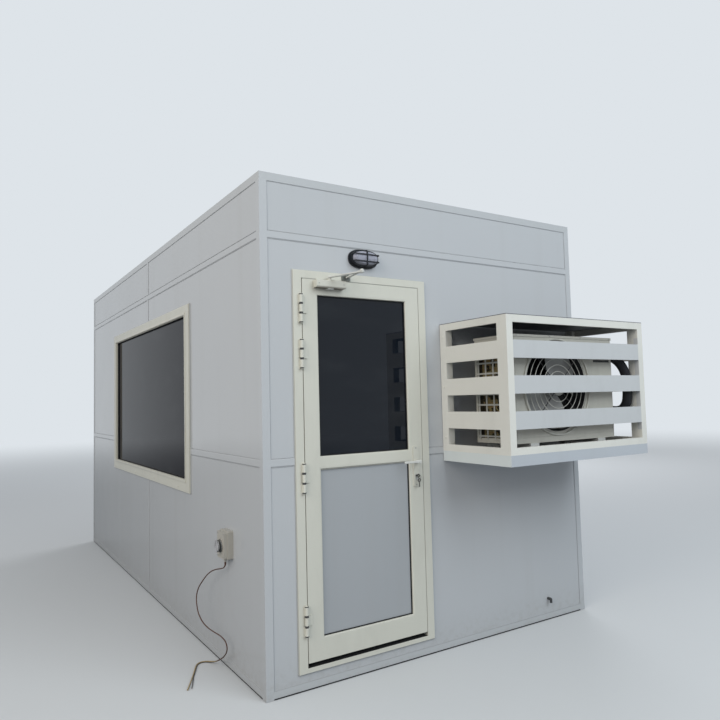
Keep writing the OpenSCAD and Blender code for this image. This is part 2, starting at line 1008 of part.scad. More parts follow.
// A lever on each face of the leaf, on one spindle
module door_levers() {
    color("#ecece6")
        at_corner() {
            bar_y(lock_x, face_y - lever_out, handle_z, lever_neck_r, leaf_t + 2 * lever_out);
            lever(face_y - lever_out - lever_t / 2);
            lever(leaf_back + lever_out - lever_t / 2);
        }
}

module lever(y) {
    bar_y(lock_x, y, handle_z, lever_hub_r, lever_t);
    translate([lock_x - lever_l, 0, handle_z])
        extrude_y(y, lever_t)
            union() {
                translate([0, -8])
                    square([lever_l, 16]);
                circle(r = 8);
            }
}

// Door closer

module closer_body() {
    chamfer = 6;
    color("#e2e4e3")
        at_corner()
            difference() {
                union() {
                    extrude_x(spindle[0] - closer_l / 2, closer_l)
                        polygon([
                            [face_y, closer_z], [face_y, closer_top],
                            [closer_y + chamfer, closer_top], [closer_y, closer_top - chamfer],
                            [closer_y, closer_z + chamfer], [closer_y + chamfer, closer_z]
                        ]);
                    translate([spindle[0], spindle[1], closer_z - 4])
                        cylinder(r = 12, h = 5);
                    translate([spindle[0], spindle[1], closer_top - 1])
                        cylinder(r = 14, h = 6);
                }
                translate([spindle[0], spindle[1], closer_top - 20])
                    cylinder(r = spindle_r + pin_fit, h = 40);
            }
}

// A flat bar between two points with round ends
module flat_link(a, b, z, w) {
    d = b - a;
    translate([a[0], a[1], z])
        rotate([0, 0, atan2(d[1], d[0])]) {
            translate([0, -w / 2, 0])
                cube([norm(d), w, arm_t]);
            for (x = [0, norm(d)])
                translate([x, 0, 0])
                    cylinder(r = w / 2 + 2, h = arm_t);
        }
}

// The main arm turns with the spindle
module closer_arm() {
    color("#e2e4e3")
        at_corner() {
            flat_link(spindle, elbow, arm_z, arm_w);
            translate([spindle[0], spindle[1], closer_top - 18])
                cylinder(r = spindle_r, h = arm_z + arm_t + 5 - closer_top + 18);
            translate([elbow[0], elbow[1], arm_z - 4])
                cylinder(r = 8, h = 5);
        }
}

// The forearm swings at the shoe and meets the main arm at the elbow
module closer_forearm() {
    color("#e2e4e3")
        at_corner()
            difference() {
                union() {
                    flat_link(shoe_pivot, elbow, forearm_z, arm_w - 4);
                    translate([elbow[0], elbow[1], forearm_z + arm_t - 1])
                        cylinder(r = 8, h = 5);
                }
                translate([shoe_pivot[0], shoe_pivot[1], forearm_z - 1])
                    cylinder(r = shoe_pin_r + pin_fit, h = arm_t + 2);
            }
}

// The shoe is screwed to the door head and carries the forearm's pin
module closer_shoe() {
    lug_z = forearm_z + arm_t + arm_gap;
    color(dark_col)
        at_corner() {
            slab([shoe_pivot[0] - shoe_w / 2, face_y - shoe_plate_t, head_z + 4],
                 [shoe_pivot[0] + shoe_w / 2, face_y, door_z1 - 4]);
            slab([shoe_pivot[0] - lug_r, pivot_y, lug_z], [shoe_pivot[0] + lug_r, face_y, lug_z + arm_t]);
            translate([shoe_pivot[0], shoe_pivot[1], lug_z])
                cylinder(r = lug_r, h = arm_t);
            translate([shoe_pivot[0], shoe_pivot[1], forearm_z - 5])
                cylinder(r = shoe_pin_r, h = lug_z - forearm_z + 6);
            translate([shoe_pivot[0], shoe_pivot[1], forearm_z - 5])
                cylinder(r = 7, h = 4);
        }
}

// Window

module window_frame() {
    color(cream_col)
        at_corner()
            difference() {
                slab([-frame_proud, window_y, window_z], [wall_t, window_y1, window_z1]);
                slab([-frame_proud - 1, window_sight_y, window_sight_z],
                     [wall_t + 1, window_sight_y + window_sight_l, window_sight_z + window_sight_h]);
                window_pane(pane_edge);
            }
}

module window_pane(edge) {
    slab([window_recess, window_sight_y - edge, window_sight_z - edge],
         [window_recess + pane_t, window_sight_y + window_sight_l + edge,
          window_sight_z + window_sight_h + edge]);
}

module window_glass() {
    color(glass_col)
        at_corner()
            window_pane(pane_edge);
}

module window_gasket() {
    set_back = 4;
    color(black_col)
        at_corner() {
            extrude_x(-frame_proud + set_back, window_recess + frame_proud - set_back)
                ring_xz(window_sight_y, window_sight_z, window_sight_l, window_sight_h, gasket_w);
            extrude_x(window_recess + pane_t, wall_t - set_back - window_recess - pane_t)
                ring_xz(window_sight_y, window_sight_z, window_sight_l, window_sight_h, gasket_w);
        }
}

// Lamp

// A point on an oval of half sizes a and b, squarer than an ellipse
oval_power = 0.82;
function oval_point(a, b, angle) = let (
    c = cos(angle),
    s = sin(angle)
) [a * sign(c) * pow(abs(c), oval_power), b * sign(s) * pow(abs(s), oval_power)];

// Half the length of such an oval at a distance off its long middle line
function oval_reach(a, b, off) = a * pow(cos(asin(pow(off / b, 1 / oval_power))), oval_power);

function oval(a, b) = [for (i = [0:lamp_steps - 1]) oval_point(a, b, 360 * i / lamp_steps)];

// How far the glass dome has risen and how much of its outline is left, ring by ring
function dome_rise(i) = sin(90 * i / dome_rings);
function dome_keep(i) = 1 - (1 - dome_shrink) * (1 - cos(90 * i / dome_rings));

module at_lamp() {
    at_corner()
        translate([lamp_x, 0, lamp_z])
            rotate([90, 0, 0])
                children();
}

module lamp_base() {
    color(black_col)
        at_lamp() {
            linear_extrude(lamp_base_d / 2)
                polygon(oval(lamp_l / 2, lamp_h / 2));
            translate([0, 0, lamp_base_d / 2])
                linear_extrude(lamp_base_d / 2)
                    polygon(oval(lamp_l / 2 - lamp_step, lamp_h / 2 - lamp_step));
        }
}

module lamp_glass() {
    points = [
        for (i = [0:dome_rings], p = oval(glass_a * dome_keep(i), glass_b * dome_keep(i)))
            [p[0], p[1], lamp_base_d + lamp_glass_d * dome_rise(i)]
    ];
    sides = [
        for (i = [0:dome_rings - 1], k = [0:lamp_steps - 1])
            let (k1 = (k + 1) % lamp_steps, low = i * lamp_steps, high = low + lamp_steps)
                [low + k, high + k, high + k1, low + k1]
    ];
    foot = [for (k = [0:lamp_steps - 1]) k];
    crown = [for (k = [lamp_steps - 1:-1:0]) dome_rings * lamp_steps + k];
    color("#cfd6da")
        at_lamp()
            polyhedron(points = points, faces = concat(sides, [foot], [crown]), convexity = 4);
}

// An arch over the dome with bevelled shoulders, clear of the glass by the guard's gap
module guard_arch(glass_half, width) {
    half = glass_half + guard_gap + guard_t;
    top = lamp_glass_d + guard_gap + guard_t;
    in = half - guard_t;
    soffit = top - guard_t;
    bevel = guard_shoulder;
    rotate([90, 0, 0])
        translate([0, 0, -width / 2])
            linear_extrude(width)
                polygon([
                    [-half, 0], [-half, top - bevel], [-half + bevel, top], [half - bevel, top],
                    [half, top - bevel], [half, 0], [in, 0], [in, soffit - bevel + 2],
                    [in - bevel + 2, soffit], [-in + bevel - 2, soffit], [-in, soffit - bevel + 2], [-in, 0]
                ]);
}

module lamp_guard() {
    a = lamp_l / 2 - guard_rim_in;
    b = lamp_h / 2 - guard_rim_in;
    row = b * 0.42;
    color(black_col)
        at_lamp()
            translate([0, 0, lamp_base_d]) {
                difference() {
                    linear_extrude(guard_foot)
                        polygon(oval(a, b));
                    translate([0, 0, -1])
                        linear_extrude(guard_foot + 2)
                            polygon(oval(glass_a, glass_b));
                }
                rotate([0, 0, 90])
                    guard_arch(glass_b, guard_bar);
                for (y = [-row, row])
                    translate([0, y, 0])
                        guard_arch(oval_reach(glass_a, glass_b, row - guard_bar / 2), guard_bar);
            }
}

// Cage round the cooling unit

function slat_low(i) = slats_z + slat_space + i * (slat_h + slat_space);

// The front panel: two corner posts, a low rail, a top rail and the slats between
module cage_front() {
    color(cream_col)
        at_corner() {
            for (x = [cage_x, cage_x1 - post_w])
                slab([x, -cage_d, shelf_top], [x + post_w, -cage_d + post_d, cage_z1 - top_sheet_t]);
            cage_bars([cage_x + post_w, -cage_d], [cage_x1 - post_w, -cage_d + slat_t]);
        }
}

// The rails and slats of one panel, over a plan rectangle
module cage_bars(low, high) {
    slab([low[0], low[1], shelf_top], [high[0], high[1], slats_z]);
    slab([low[0], low[1], top_rail_z], [high[0], high[1], cage_z1 - top_sheet_t]);
    for (i = [0:slat_n - 1])
        slab([low[0], low[1], slat_low(i)], [high[0], high[1], slat_low(i) + slat_h]);
}

// One side panel: a post against the wall, and rails and slats out to the front post
module cage_side(post_x, bars_x) {
    color(cream_col)
        at_corner() {
            slab([post_x, cage_back - wall_post_d, shelf_top],
                 [post_x + post_w, cage_back, cage_z1 - top_sheet_t]);
            cage_bars([bars_x, -cage_d + post_d], [bars_x + slat_t, cage_back - wall_post_d]);
        }
}

module cage_left_side() {
    cage_side(cage_x, cage_x);
}

module cage_right_side() {
    cage_side(cage_x1 - post_w, cage_x1 - slat_t);
}

module cage_top() {
    color(cream_col)
        at_corner()
            slab([cage_x, -cage_d, cage_z1 - top_sheet_t], [cage_x1, cage_back, cage_z1]);
}

// A folded tray: a sheet on top and a deep edge all round
module cage_shelf() {
    edge = 40;
    color(trim_col)
        at_corner()
            difference() {
                slab([cage_x, -cage_d, cage_z], [cage_x1, cage_back, shelf_top]);
                slab([cage_x + edge, -cage_d + edge, cage_z - 1],
                     [cage_x1 - edge, -edge, shelf_top - tray_t]);
            }
}

// Cooling unit

module ac_casing() {
    color(unit_col)
        at_corner()
            difference() {
                union() {
                    translate([unit_x, unit_y, unit_z])
                        linear_extrude(unit_h - lid_t)
                            rounded_rect([unit_w, unit_d], unit_corner_r);
                    translate([unit_x - lid_lip, unit_y - lid_lip, unit_z1 - lid_t])
                        linear_extrude(lid_t)
                            rounded_rect([unit_w + 2 * lid_lip, unit_d + 2 * lid_lip], unit_corner_r);
                    unit_feet();
                }
                bar_y(fan_pos[0], fan_pos[1] - 1, fan_pos[2], fan_well_r, fan_well_d + 1);
                coil_space(0);
                pan_groove();
            }
    color(dark_col)
        at_corner() {
            bar_y(fan_pos[0], fan_pos[1] + fan_well_d - 40, fan_pos[2], motor_r, 40);
            bar_y(fan_pos[0], fan_pos[1] + hub_set + 4, fan_pos[2], shaft_r, fan_well_d - hub_set);
        }
}

// The line between the base pan and the panels
module pan_groove() {
    translate([unit_x, unit_y, unit_z + pan_h])
        linear_extrude(groove_h)
            difference() {
                translate([-1, -1])
                    square([unit_w + 2, unit_d + 2]);
                translate([groove_d, groove_d])
                    rounded_rect([unit_w - 2 * groove_d, unit_d - 2 * groove_d], unit_corner_r - groove_d);
            }
}

// Two pressed feet across the casing, each on two blocks
module unit_feet() {
    foot_w = 70;
    foot_t = 27;
    block_w = 46;
    for (x = [unit_x + 110, unit_x1 - 110 - foot_w]) {
        slab([x, unit_y - 6, unit_z - foot_t], [x + foot_w, unit_y1 + 20, unit_z]);
        for (y = [unit_y + 20, unit_y1 - 20 - block_w])
            slab([x + 12, y, shelf_top], [x + 12 + block_w, y + block_w, unit_z - foot_t]);
    }
}

// The recess for the coil, along the left side and the back
module coil_space(clear) {
    low_z = unit_z + coil_frame;
    high_z = unit_z1 - lid_t - coil_frame;
    slab([unit_x - 1, unit_y + 2 * coil_frame, low_z], [unit_x + coil_t, unit_y1 - coil_frame, high_z]);
    slab([unit_x + coil_frame, unit_y1 - coil_t, low_z], [unit_x1 - 240, unit_y1 + 1, high_z]);
}

// Finned coil slabs set in the recess
module ac_coil() {
    fin_pitch = 12;
    fin_t = 4;
    low_z = unit_z + coil_frame;
    high_z = unit_z1 - lid_t - coil_frame;
    y0 = unit_y + 2 * coil_frame;
    y1 = unit_y1 - coil_frame;
    color("#8d8567")
        at_corner() {
            slab([unit_x + 5, y0, low_z], [unit_x + coil_t, y1, high_z]);
            for (y = [y0 + fin_t:fin_pitch:y1 - fin_t])
                slab([unit_x + 2, y, low_z], [unit_x + 5, y + fin_t, high_z]);
            slab([unit_x + coil_frame, unit_y1 - coil_t, low_z], [unit_x1 - 240, unit_y1 - 3, high_z]);
        }
}

// Grid of flat bars over the side coil
module ac_coil_guard() {
    y0 = unit_y + coil_frame + 4;
    y1 = unit_y1 - coil_frame + 8;
    last_y = unit_y1 - coil_frame - grid_w;
    z0 = unit_z + coil_frame - 10;
    z1 = unit_z1 - lid_t - coil_frame + 14;
    row_z = z0 + 16;
    n_y = round((last_y - y0 - grid_w) / grid_pitch);
    n_z = round((z1 - row_z - grid_w) / grid_pitch);
    color(unit_col)
        at_corner() {
            for (i = [0:n_y], y = y0 + i * (last_y - y0 - grid_w) / n_y)
                slab([unit_x - grid_t, y, z0], [unit_x, y + grid_w, z1]);
            for (k = [0:n_z], z = row_z + k * (z1 - row_z - grid_w) / n_z)
                slab([unit_x - grid_t, y0, z], [unit_x, y1, z + grid_w]);
        }
}

// One fan blade: a broad twisted plate that flattens from root to tip and leans forward
blade_stations = 7;
blade_strips = 6;
blade_share = 0.66;
blade_start = -63;
blade_t = 4;
function blade_radius(i) = hub_r - 6 + (fan_r - hub_r + 6) * i / blade_stations;
function blade_pitch(i) = 34 - 21 * i / blade_stations;
function blade_sweep(i) = 16 * pow(i / blade_stations, 2);
function blade_angle() = 180 * blade_share / blade_n;

function blade_corner(i, along, up) = let (
    r = blade_radius(i),
    turn = along * blade_angle() + blade_sweep(i),
    rise = along * r * blade_angle() / 57.3 * 0.62 * sin(blade_pitch(i)) + up * blade_t / 2
) [r * cos(turn), r * sin(turn), rise];

module fan_blade() {
    across = [
        for (j = [0:blade_strips]) [2 * j / blade_strips - 1, -1],
        for (j = [blade_strips:-1:0]) [2 * j / blade_strips - 1, 1]
    ];
    per = len(across);
    points = [for (i = [0:blade_stations], a = across) blade_corner(i, a[0], a[1])];
    walls = [
        for (i = [0:blade_stations - 1], k = [0:per - 1], half = [0, 1])
            let (k1 = (k + 1) % per, low = i * per, high = low + per)
                half == 0 ? [low + k, high + k, high + k1] : [low + k, high + k1, low + k1]
    ];
    far = blade_stations * per;
    ends = [
        for (j = [0:blade_strips - 1], half = [0, 1])
            let (k = j, k1 = j + 1, m = per - 1 - j, m1 = per - 2 - j)
                half == 0 ? [k, k1, m1] : [k, m1, m]
    ];
    tip = [for (f = ends) [far + f[0], far + f[2], far + f[1]]];
    polyhedron(points = points, faces = concat(walls, ends, tip), convexity = 6);
}

module ac_fan() {
    color("#4a4d50")
        at_corner()
            translate([fan_pos[0], fan_pos[1] + hub_set, fan_pos[2]])
                rotate([-90, 0, 0])
                    difference() {
                        union() {
                            cylinder(r = hub_r, h = hub_h);
                            for (b = [0:blade_n - 1])
                                rotate([0, 0, 360 * b / blade_n + blade_start])
                                    translate([0, 0, hub_h / 2])
                                        fan_blade();
                        }
                        translate([0, 0, 3])
                            cylinder(r = shaft_r + pin_fit, h = hub_h);
                        translate([0, 0, 16])
                            difference() {
                                cylinder(r = hub_r - 5, h = hub_h);
                                cylinder(r = shaft_r + 8, h = hub_h);
                            }
                    }
}

// Concentric wire rings on thin spokes, with a plain disc in the middle and a flat rim
module ac_fan_guard() {
    outer = fan_well_r + guard_lap;
    step = (outer - guard_first_r) / (ring_n - 1);
    color(unit_col)
        at_corner()
            translate(fan_pos)
                rotate([90, 0, 0]) {
                    for (i = [0:ring_n - 1])
                        translate([0, 0, guard_out])
                            rotate_extrude($fn = 72)
                                translate([guard_first_r + i * step, 0])
                                    circle(r = guard_wire_r, $fn = 16);
                    translate([0, 0, guard_out - guard_wire_r - 1])
                        cylinder(r = guard_first_r + guard_wire_r, h = 3);
                    for (k = [0:spoke_n - 1])
                        rotate([0, 0, 360 * k / spoke_n + 45])
                            translate([guard_first_r - 4, -spoke_w / 2, guard_out - guard_wire_r - 3])
                                cube([outer - guard_first_r + 4, spoke_w, 4]);
                    difference() {
                        cylinder(r = outer + guard_edge, h = guard_out);
                        translate([0, 0, -1])
                            cylinder(r = outer - guard_edge, h = guard_out + 2);
                    }
                }
}

// The valve cover on the right side, with the pipe's union
module ac_valves() {
    color(unit_col)
        at_corner() {
            translate([unit_x1, valve_y - valve_half_w, valve_z - valve_drop])
                cube([valve_out, 2 * valve_half_w, valve_h]);
            translate([unit_x1, valve_y + valve_half_w + handle_gap, valve_z - handle_h / 2])
                cube([handle_t, handle_w, handle_h]);
        }
}

// The insulated pipe: out of the valve, round a loop in the cage's corner and back to the wall
module ac_pipe() {
    color(black_col)
        at_corner()
            sweep(smooth_line(pipe_route, pipe_steps), pipe_r, pipe_sides);
}

// Switch box

module switch_box() {
    color(cream_col)
        at_corner()
            translate([0, box_y, box_z])
                extrude_x(-box_d, box_d)
                    rounded_rect([box_w, box_h], 10);
}

// The cover, with the round seat of the knob and two hinge lugs
module switch_cover() {
    rim = 5;
    color(cream_col)
        at_corner()
            difference() {
                union() {
                    translate([0, box_y + rim, box_z + rim])
                        extrude_x(-box_d - cover_d, cover_d)
                            rounded_rect([box_w - 2 * rim, box_h - 2 * rim], 8);
                    bar_x(-box_d - cover_d - 4, box_c_y, knob_z, knob_r + 5, 5);
                }
                bar_x(-box_d - cover_d - 5, box_c_y, knob_z, knob_shaft_r + pin_fit, 16);
            }
}

module switch_knob() {
    front = -box_d - cover_d - 4;
    color(black_col)
        at_corner()
            translate([0, box_c_y, knob_z]) {
                bar_x(front - 1 - knob_h, 0, 0, knob_r, knob_h);
                bar_x(front - 2, 0, 0, knob_shaft_r, 14);
                slab([front - 1 - knob_h - 8, -5, -knob_r - 6], [front - knob_h, 5, knob_r + 6]);
            }
}

module cord_gland() {
    color(black_col)
        at_corner()
            translate([gland_x, box_c_y, box_z]) {
                translate([0, 0, -gland_nut])
                    cylinder(r = gland_r, h = gland_nut, $fn = 6);
                translate([0, 0, -gland_h])
                    cylinder(r1 = cord_r + 2.5, r2 = gland_r - 2, h = gland_h - gland_nut);
            }
}

// Sweeps

function unit(v) = v / norm(v);

function at_end(route, i) = route[max(0, min(len(route) - 1, i))];

// A point on the smooth curve through a route, t along the stretch after point i
function smooth(route, i, t) = let (
    a = at_end(route, i - 1),
    b = at_end(route, i),
    c = at_end(route, i + 1),
    d = at_end(route, i + 2)
) 0.5 * (2 * b + (c - a) * t + (2 * a - 5 * b + 4 * c - d) * t * t + (3 * b - a - 3 * c + d) * t * t * t);

function smooth_line(route, steps) = concat(
    [for (i = [0:len(route) - 2], s = [0:steps - 1]) smooth(route, i, s / steps)],
    [route[len(route) - 1]]
);

function heading(line, i) = unit(at_end(line, i + 1) - at_end(line, i - 1));

// Carries a side vector along the line without letting it twist
function carried(line, i) = i == 0
    ? unit(cross(heading(line, 0), [1, 0, 0.3]))
    : let (n = carried(line, i - 1), t = heading(line, i)) unit(n - (n * t) * t);

// A round tube of many flats along a line of points
module sweep(line, r, sides) {
    rings = len(line);
    points = [
        for (i = [0:rings - 1])
            let (n = carried(line, i), b = cross(heading(line, i), n))
                for (k = [0:sides - 1])
                    let (a = 360 * (k + 0.5) / sides)
                        line[i] + r * (cos(a) * n + sin(a) * b)
    ];
    walls = [
        for (i = [0:rings - 2], k = [0:sides - 1])
            let (k1 = (k + 1) % sides, low = i * sides, high = low + sides)
                [low + k, high + k, high + k1, low + k1]
    ];
    start = [for (k = [0:sides - 1]) k];
    finish = [for (k = [sides - 1:-1:0]) (rings - 1) * sides + k];
    polyhedron(points = points, faces = concat(walls, [start], [finish]), convexity = 10);
}

module power_cord() {
    color("#7a4a35")
        at_corner()
            sweep(smooth_line(cord_route, cord_steps), cord_r, cord_sides);
}

// A short drain pipe through the wall under the cage, bent down
module drain_spout() {
    x = 2085;
    z = 141;
    r = 9;
    color(dark_col)
        at_corner()
            difference() {
                union() {
                    bar_y(x, -26, z, r, 26);
                    translate([x, -26, z])
                        sphere(r = r);
                    translate([x, -26, z - 24])
                        cylinder(r = r, h = 24);
                }
                translate([x, -26, z - 25])
                    cylinder(r = r - 2, h = 25);
            }
}

base_frame();
floor_deck();
front_wall_left();
front_wall_right();
front_wall_over_door();
front_wall_below_door();
left_wall_front();
left_wall_rear();
left_wall_below_window();
left_wall_over_window();
right_wall();
back_wall();
roof_panel();
corner_trims();
edge_trims();
seam_strips();
hinge_jamb();
latch_jamb();
door_head();
threshold();
leaf_frame();
leaf_glass();
leaf_panel();
leaf_gaskets();
frame_hinges();
leaf_hinges();
lock_plates();
lock_cylinder();
lock_plug();
keys();
door_levers();
closer_body();
closer_arm();
closer_forearm();
closer_shoe();
window_frame();
window_glass();
window_gasket();
lamp_base();
lamp_glass();
lamp_guard();
cage_front();
cage_left_side();
cage_right_side();
cage_top();
cage_shelf();
ac_casing();
ac_coil();
ac_coil_guard();
ac_fan();
ac_fan_guard();
ac_valves();
ac_pipe();
switch_box();
switch_cover();
switch_knob();
cord_gland();
power_cord();
drain_spout();
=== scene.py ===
"""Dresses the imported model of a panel-built guard booth and sets it in a plain studio.

Lengths are in millimetres, and places are taken from the ground corner between the door face and
the window side: x runs along the door face, y along the window side and z up. The finishes and
the studio are written in the frame's own metres.
"""

from __future__ import annotations

import itertools
import logging
import math
from collections.abc import Iterator, Sequence
from contextlib import contextmanager
from dataclasses import dataclass
from enum import Enum

import bmesh
import bpy
from mathutils import Matrix, Quaternion, Vector

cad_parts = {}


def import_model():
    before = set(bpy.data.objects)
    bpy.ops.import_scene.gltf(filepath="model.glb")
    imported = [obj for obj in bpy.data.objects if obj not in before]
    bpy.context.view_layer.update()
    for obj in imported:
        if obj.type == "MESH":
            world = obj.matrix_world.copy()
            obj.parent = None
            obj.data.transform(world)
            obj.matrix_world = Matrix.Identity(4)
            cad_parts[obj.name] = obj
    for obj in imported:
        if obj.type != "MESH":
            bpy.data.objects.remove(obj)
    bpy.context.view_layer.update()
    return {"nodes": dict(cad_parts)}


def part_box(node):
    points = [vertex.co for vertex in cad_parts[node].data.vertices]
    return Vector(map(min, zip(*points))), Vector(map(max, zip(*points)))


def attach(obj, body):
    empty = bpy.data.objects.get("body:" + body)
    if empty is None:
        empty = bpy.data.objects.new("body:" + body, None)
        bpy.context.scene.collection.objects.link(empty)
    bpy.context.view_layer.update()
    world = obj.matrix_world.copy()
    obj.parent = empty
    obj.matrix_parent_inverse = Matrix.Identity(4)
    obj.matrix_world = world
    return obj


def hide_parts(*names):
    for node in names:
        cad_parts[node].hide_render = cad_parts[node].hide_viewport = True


LOG = logging.getLogger("booth")

Colour = tuple[float, float, float]
Point = tuple[float, float, float]
Span = tuple[float, float]
Place = Sequence[float]
Piece = bpy.types.Object
Nodes = dict[str, Piece]

CABIN = "cabin"
LEAF = "door_leaf"
HANDLE = "door_handle"
TURNER = "switch_handle"
CORNER = Vector((1225.0, 2385.0, 0.0))
MM = 1000.0
FACING = 0.9
LEVEL = (0.3, 1.0)
SLACK = 0.2
WALL_ROUND = 0.2


def placed(point: Place) -> Vector:
    """A place on the drawing, in the frame's metres."""
    return (Vector(point) - CORNER) / MM


def drawn(node: str) -> tuple[Vector, Vector]:
    """The lowest and highest corners of a CAD node, on the drawing."""
    low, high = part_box(node)
    return low * MM + CORNER, high * MM + CORNER


def stretches(start: float, end: float, breaks: Sequence[Span]) -> list[Span]:
    """The parts of a line that its breaks leave.

    Args:
        start: Where the line starts.
        end: Where it ends.
        breaks: The start and end of each break.

    Returns:
        The start and end of each part.
    """
    parts = []
    for low, high in sorted(breaks):
        if low > start:
            parts.append((start, low))
        start = max(start, high)
    if start < end:
        parts.append((start, end))
    return parts


def about(hub: Place, degrees: float) -> Matrix:
    """A turn about a line along x through a place."""
    middle = Matrix.Translation(placed(hub))
    return middle @ Matrix.Rotation(math.radians(degrees), 4, "X") @ middle.inverted()


class Side(Enum):
    """The ways that a surface of the booth may look."""

    FRONT = (0.0, -1.0, 0.0)
    BACK = (0.0, 1.0, 0.0)
    LEFT = (-1.0, 0.0, 0.0)
    RIGHT = (1.0, 0.0, 0.0)
    UP = (0.0, 0.0, 1.0)

    @property
    def out(self) -> Vector:
        """The side's outward direction."""
        return Vector(self.value)

    @property
    def turn(self) -> Quaternion:
        """The turn that makes a piece's top look this way."""
        return self.out.to_track_quat("Z", "Y")


FACES = (Side.FRONT, Side.BACK)
FLANKS = (Side.LEFT, Side.RIGHT)


class Term:
    """A shader socket that ordinary arithmetic works on."""

    def __init__(self, tree: Tree, socket: bpy.types.NodeSocket) -> None:
        """Keeps the tree and the output socket that the term stands for."""
        self.tree = tree
        self.socket = socket

    def _with(self, operation: str, first: Term | float, second: Term | float) -> Term:
        """Adds one Math node and gives its result."""
        return self.tree.add("ShaderNodeMath", {"operation": operation}, {0: first, 1: second})

    def __add__(self, other: Term | float) -> Term:
        """This term plus another."""
        return self._with("ADD", self, other)

    __radd__ = __add__

    def __sub__(self, other: Term | float) -> Term:
        """This term less another."""
        return self._with("SUBTRACT", self, other)

    def __rsub__(self, other: Term | float) -> Term:
        """Another value less this term."""
        return self._with("SUBTRACT", other, self)

    def __mul__(self, other: Term | float) -> Term:
        """This term times another."""
        return self._with("MULTIPLY", self, other)

    __rmul__ = __mul__

    def __truediv__(self, other: Term | float) -> Term:
        """This term divided by another."""
        return self._with("DIVIDE", self, other)

    def __pow__(self, other: Term | float) -> Term:
        """This term to a power."""
        return self._with("POWER", self, other)

    def most(self, other: Term | float) -> Term:
        """The larger of this term and another."""
        return self._with("MAXIMUM", self, other)

    def over(self, level: float) -> Term:
        """1 where this term is above a level, and 0 elsewhere."""
        return self._with("GREATER_THAN", self, level)

    def within(self, span: Span) -> Term:
        """1 where this term lies in a span, and 0 elsewhere."""
        return self.over(span[0]) * (1.0 - self.over(span[1]))

    def fold(self) -> Term:
        """A wave of straight slopes: 0 at whole numbers, 1 half way between them."""
        return self._with("PINGPONG", self, 0.5) * 2.0

    def ramp(self, low: float, high: float) -> Term:
        """Goes smoothly from 0 at a low level to 1 at a high one."""
        sockets = {0: self, 1: low, 2: high, 3: 0.0, 4: 1.0}
        return self.tree.add("ShaderNodeMapRange", {"interpolation_type": "SMOOTHSTEP"}, sockets)


class Tree:
    """A node tree, in which every new node comes from one method."""

    def __init__(self, nodes: bpy.types.NodeTree) -> None:
        """Keeps the tree."""
        self.nodes = nodes

    def add(
        self,
        kind: str,
        settings: dict[str, object],
        sockets: dict[int | str, object],
        out: int | str = 0,
    ) -> Term:
        """Adds one node.

        Args:
            kind: The node's type.
            settings: Attributes that are set before the sockets.
            sockets: A value or a term for each input, by place or by name.
            out: The output that is wanted.

        Returns:
            The wanted output.
        """
        node = self.nodes.nodes.new(kind)
        for key, value in settings.items():
            setattr(node, key, value)
        for key, value in sockets.items():
            self.feed(node.inputs[key], value)
        return Term(self, node.outputs[out])

    def feed(self, socket: bpy.types.NodeSocket, value: object) -> None:
        """Links a term to a socket, or sets the socket's own value.

        Args:
            socket: The input.
            value: A term or a plain value.
        """
        if isinstance(value, Term):
            self.nodes.links.new(value.socket, socket)
        else:
            socket.default_value = value

    def found(self, kind: str) -> bpy.types.Node:
        """The node of one kind that the tree began with."""
        return next(n for n in self.nodes.nodes if n.type == kind)

    def ray(self, name: str) -> Term:
        """1 for rays of one kind, and 0 for others."""
        return self.add("ShaderNodeLightPath", {}, {}, f"Is {name} Ray")

    def seen(self) -> Term:
        """1 for what the camera sees, straight, in gloss or through glass."""
        return self.ray("Camera").most(self.ray("Glossy")).most(self.ray("Transmission"))


@dataclass(frozen=True)
class Grain:
    """Smooth noise on a surface, and how it stands out.

    Attributes:
        scale: Waves a metre.
        octaves: How many finer waves are laid over it.
        rough: The weight of the finer waves.
        levels: The values that become 0 and 1, if it is cut to spots.
        run: Its scale along each axis, if it runs one way.
        amount: How much it adds where it is 1.
        least: What it gives where it is 0.
        relief: Its depth in metres as a bump, and the share that shows.
    """

    scale: float
    octaves: float = 2.0
    rough: float = 0.5
    levels: Span | None = None
    run: Point | None = None
    amount: float = 1.0
    least: float = 0.0
    relief: Span = (0.0, 1.0)


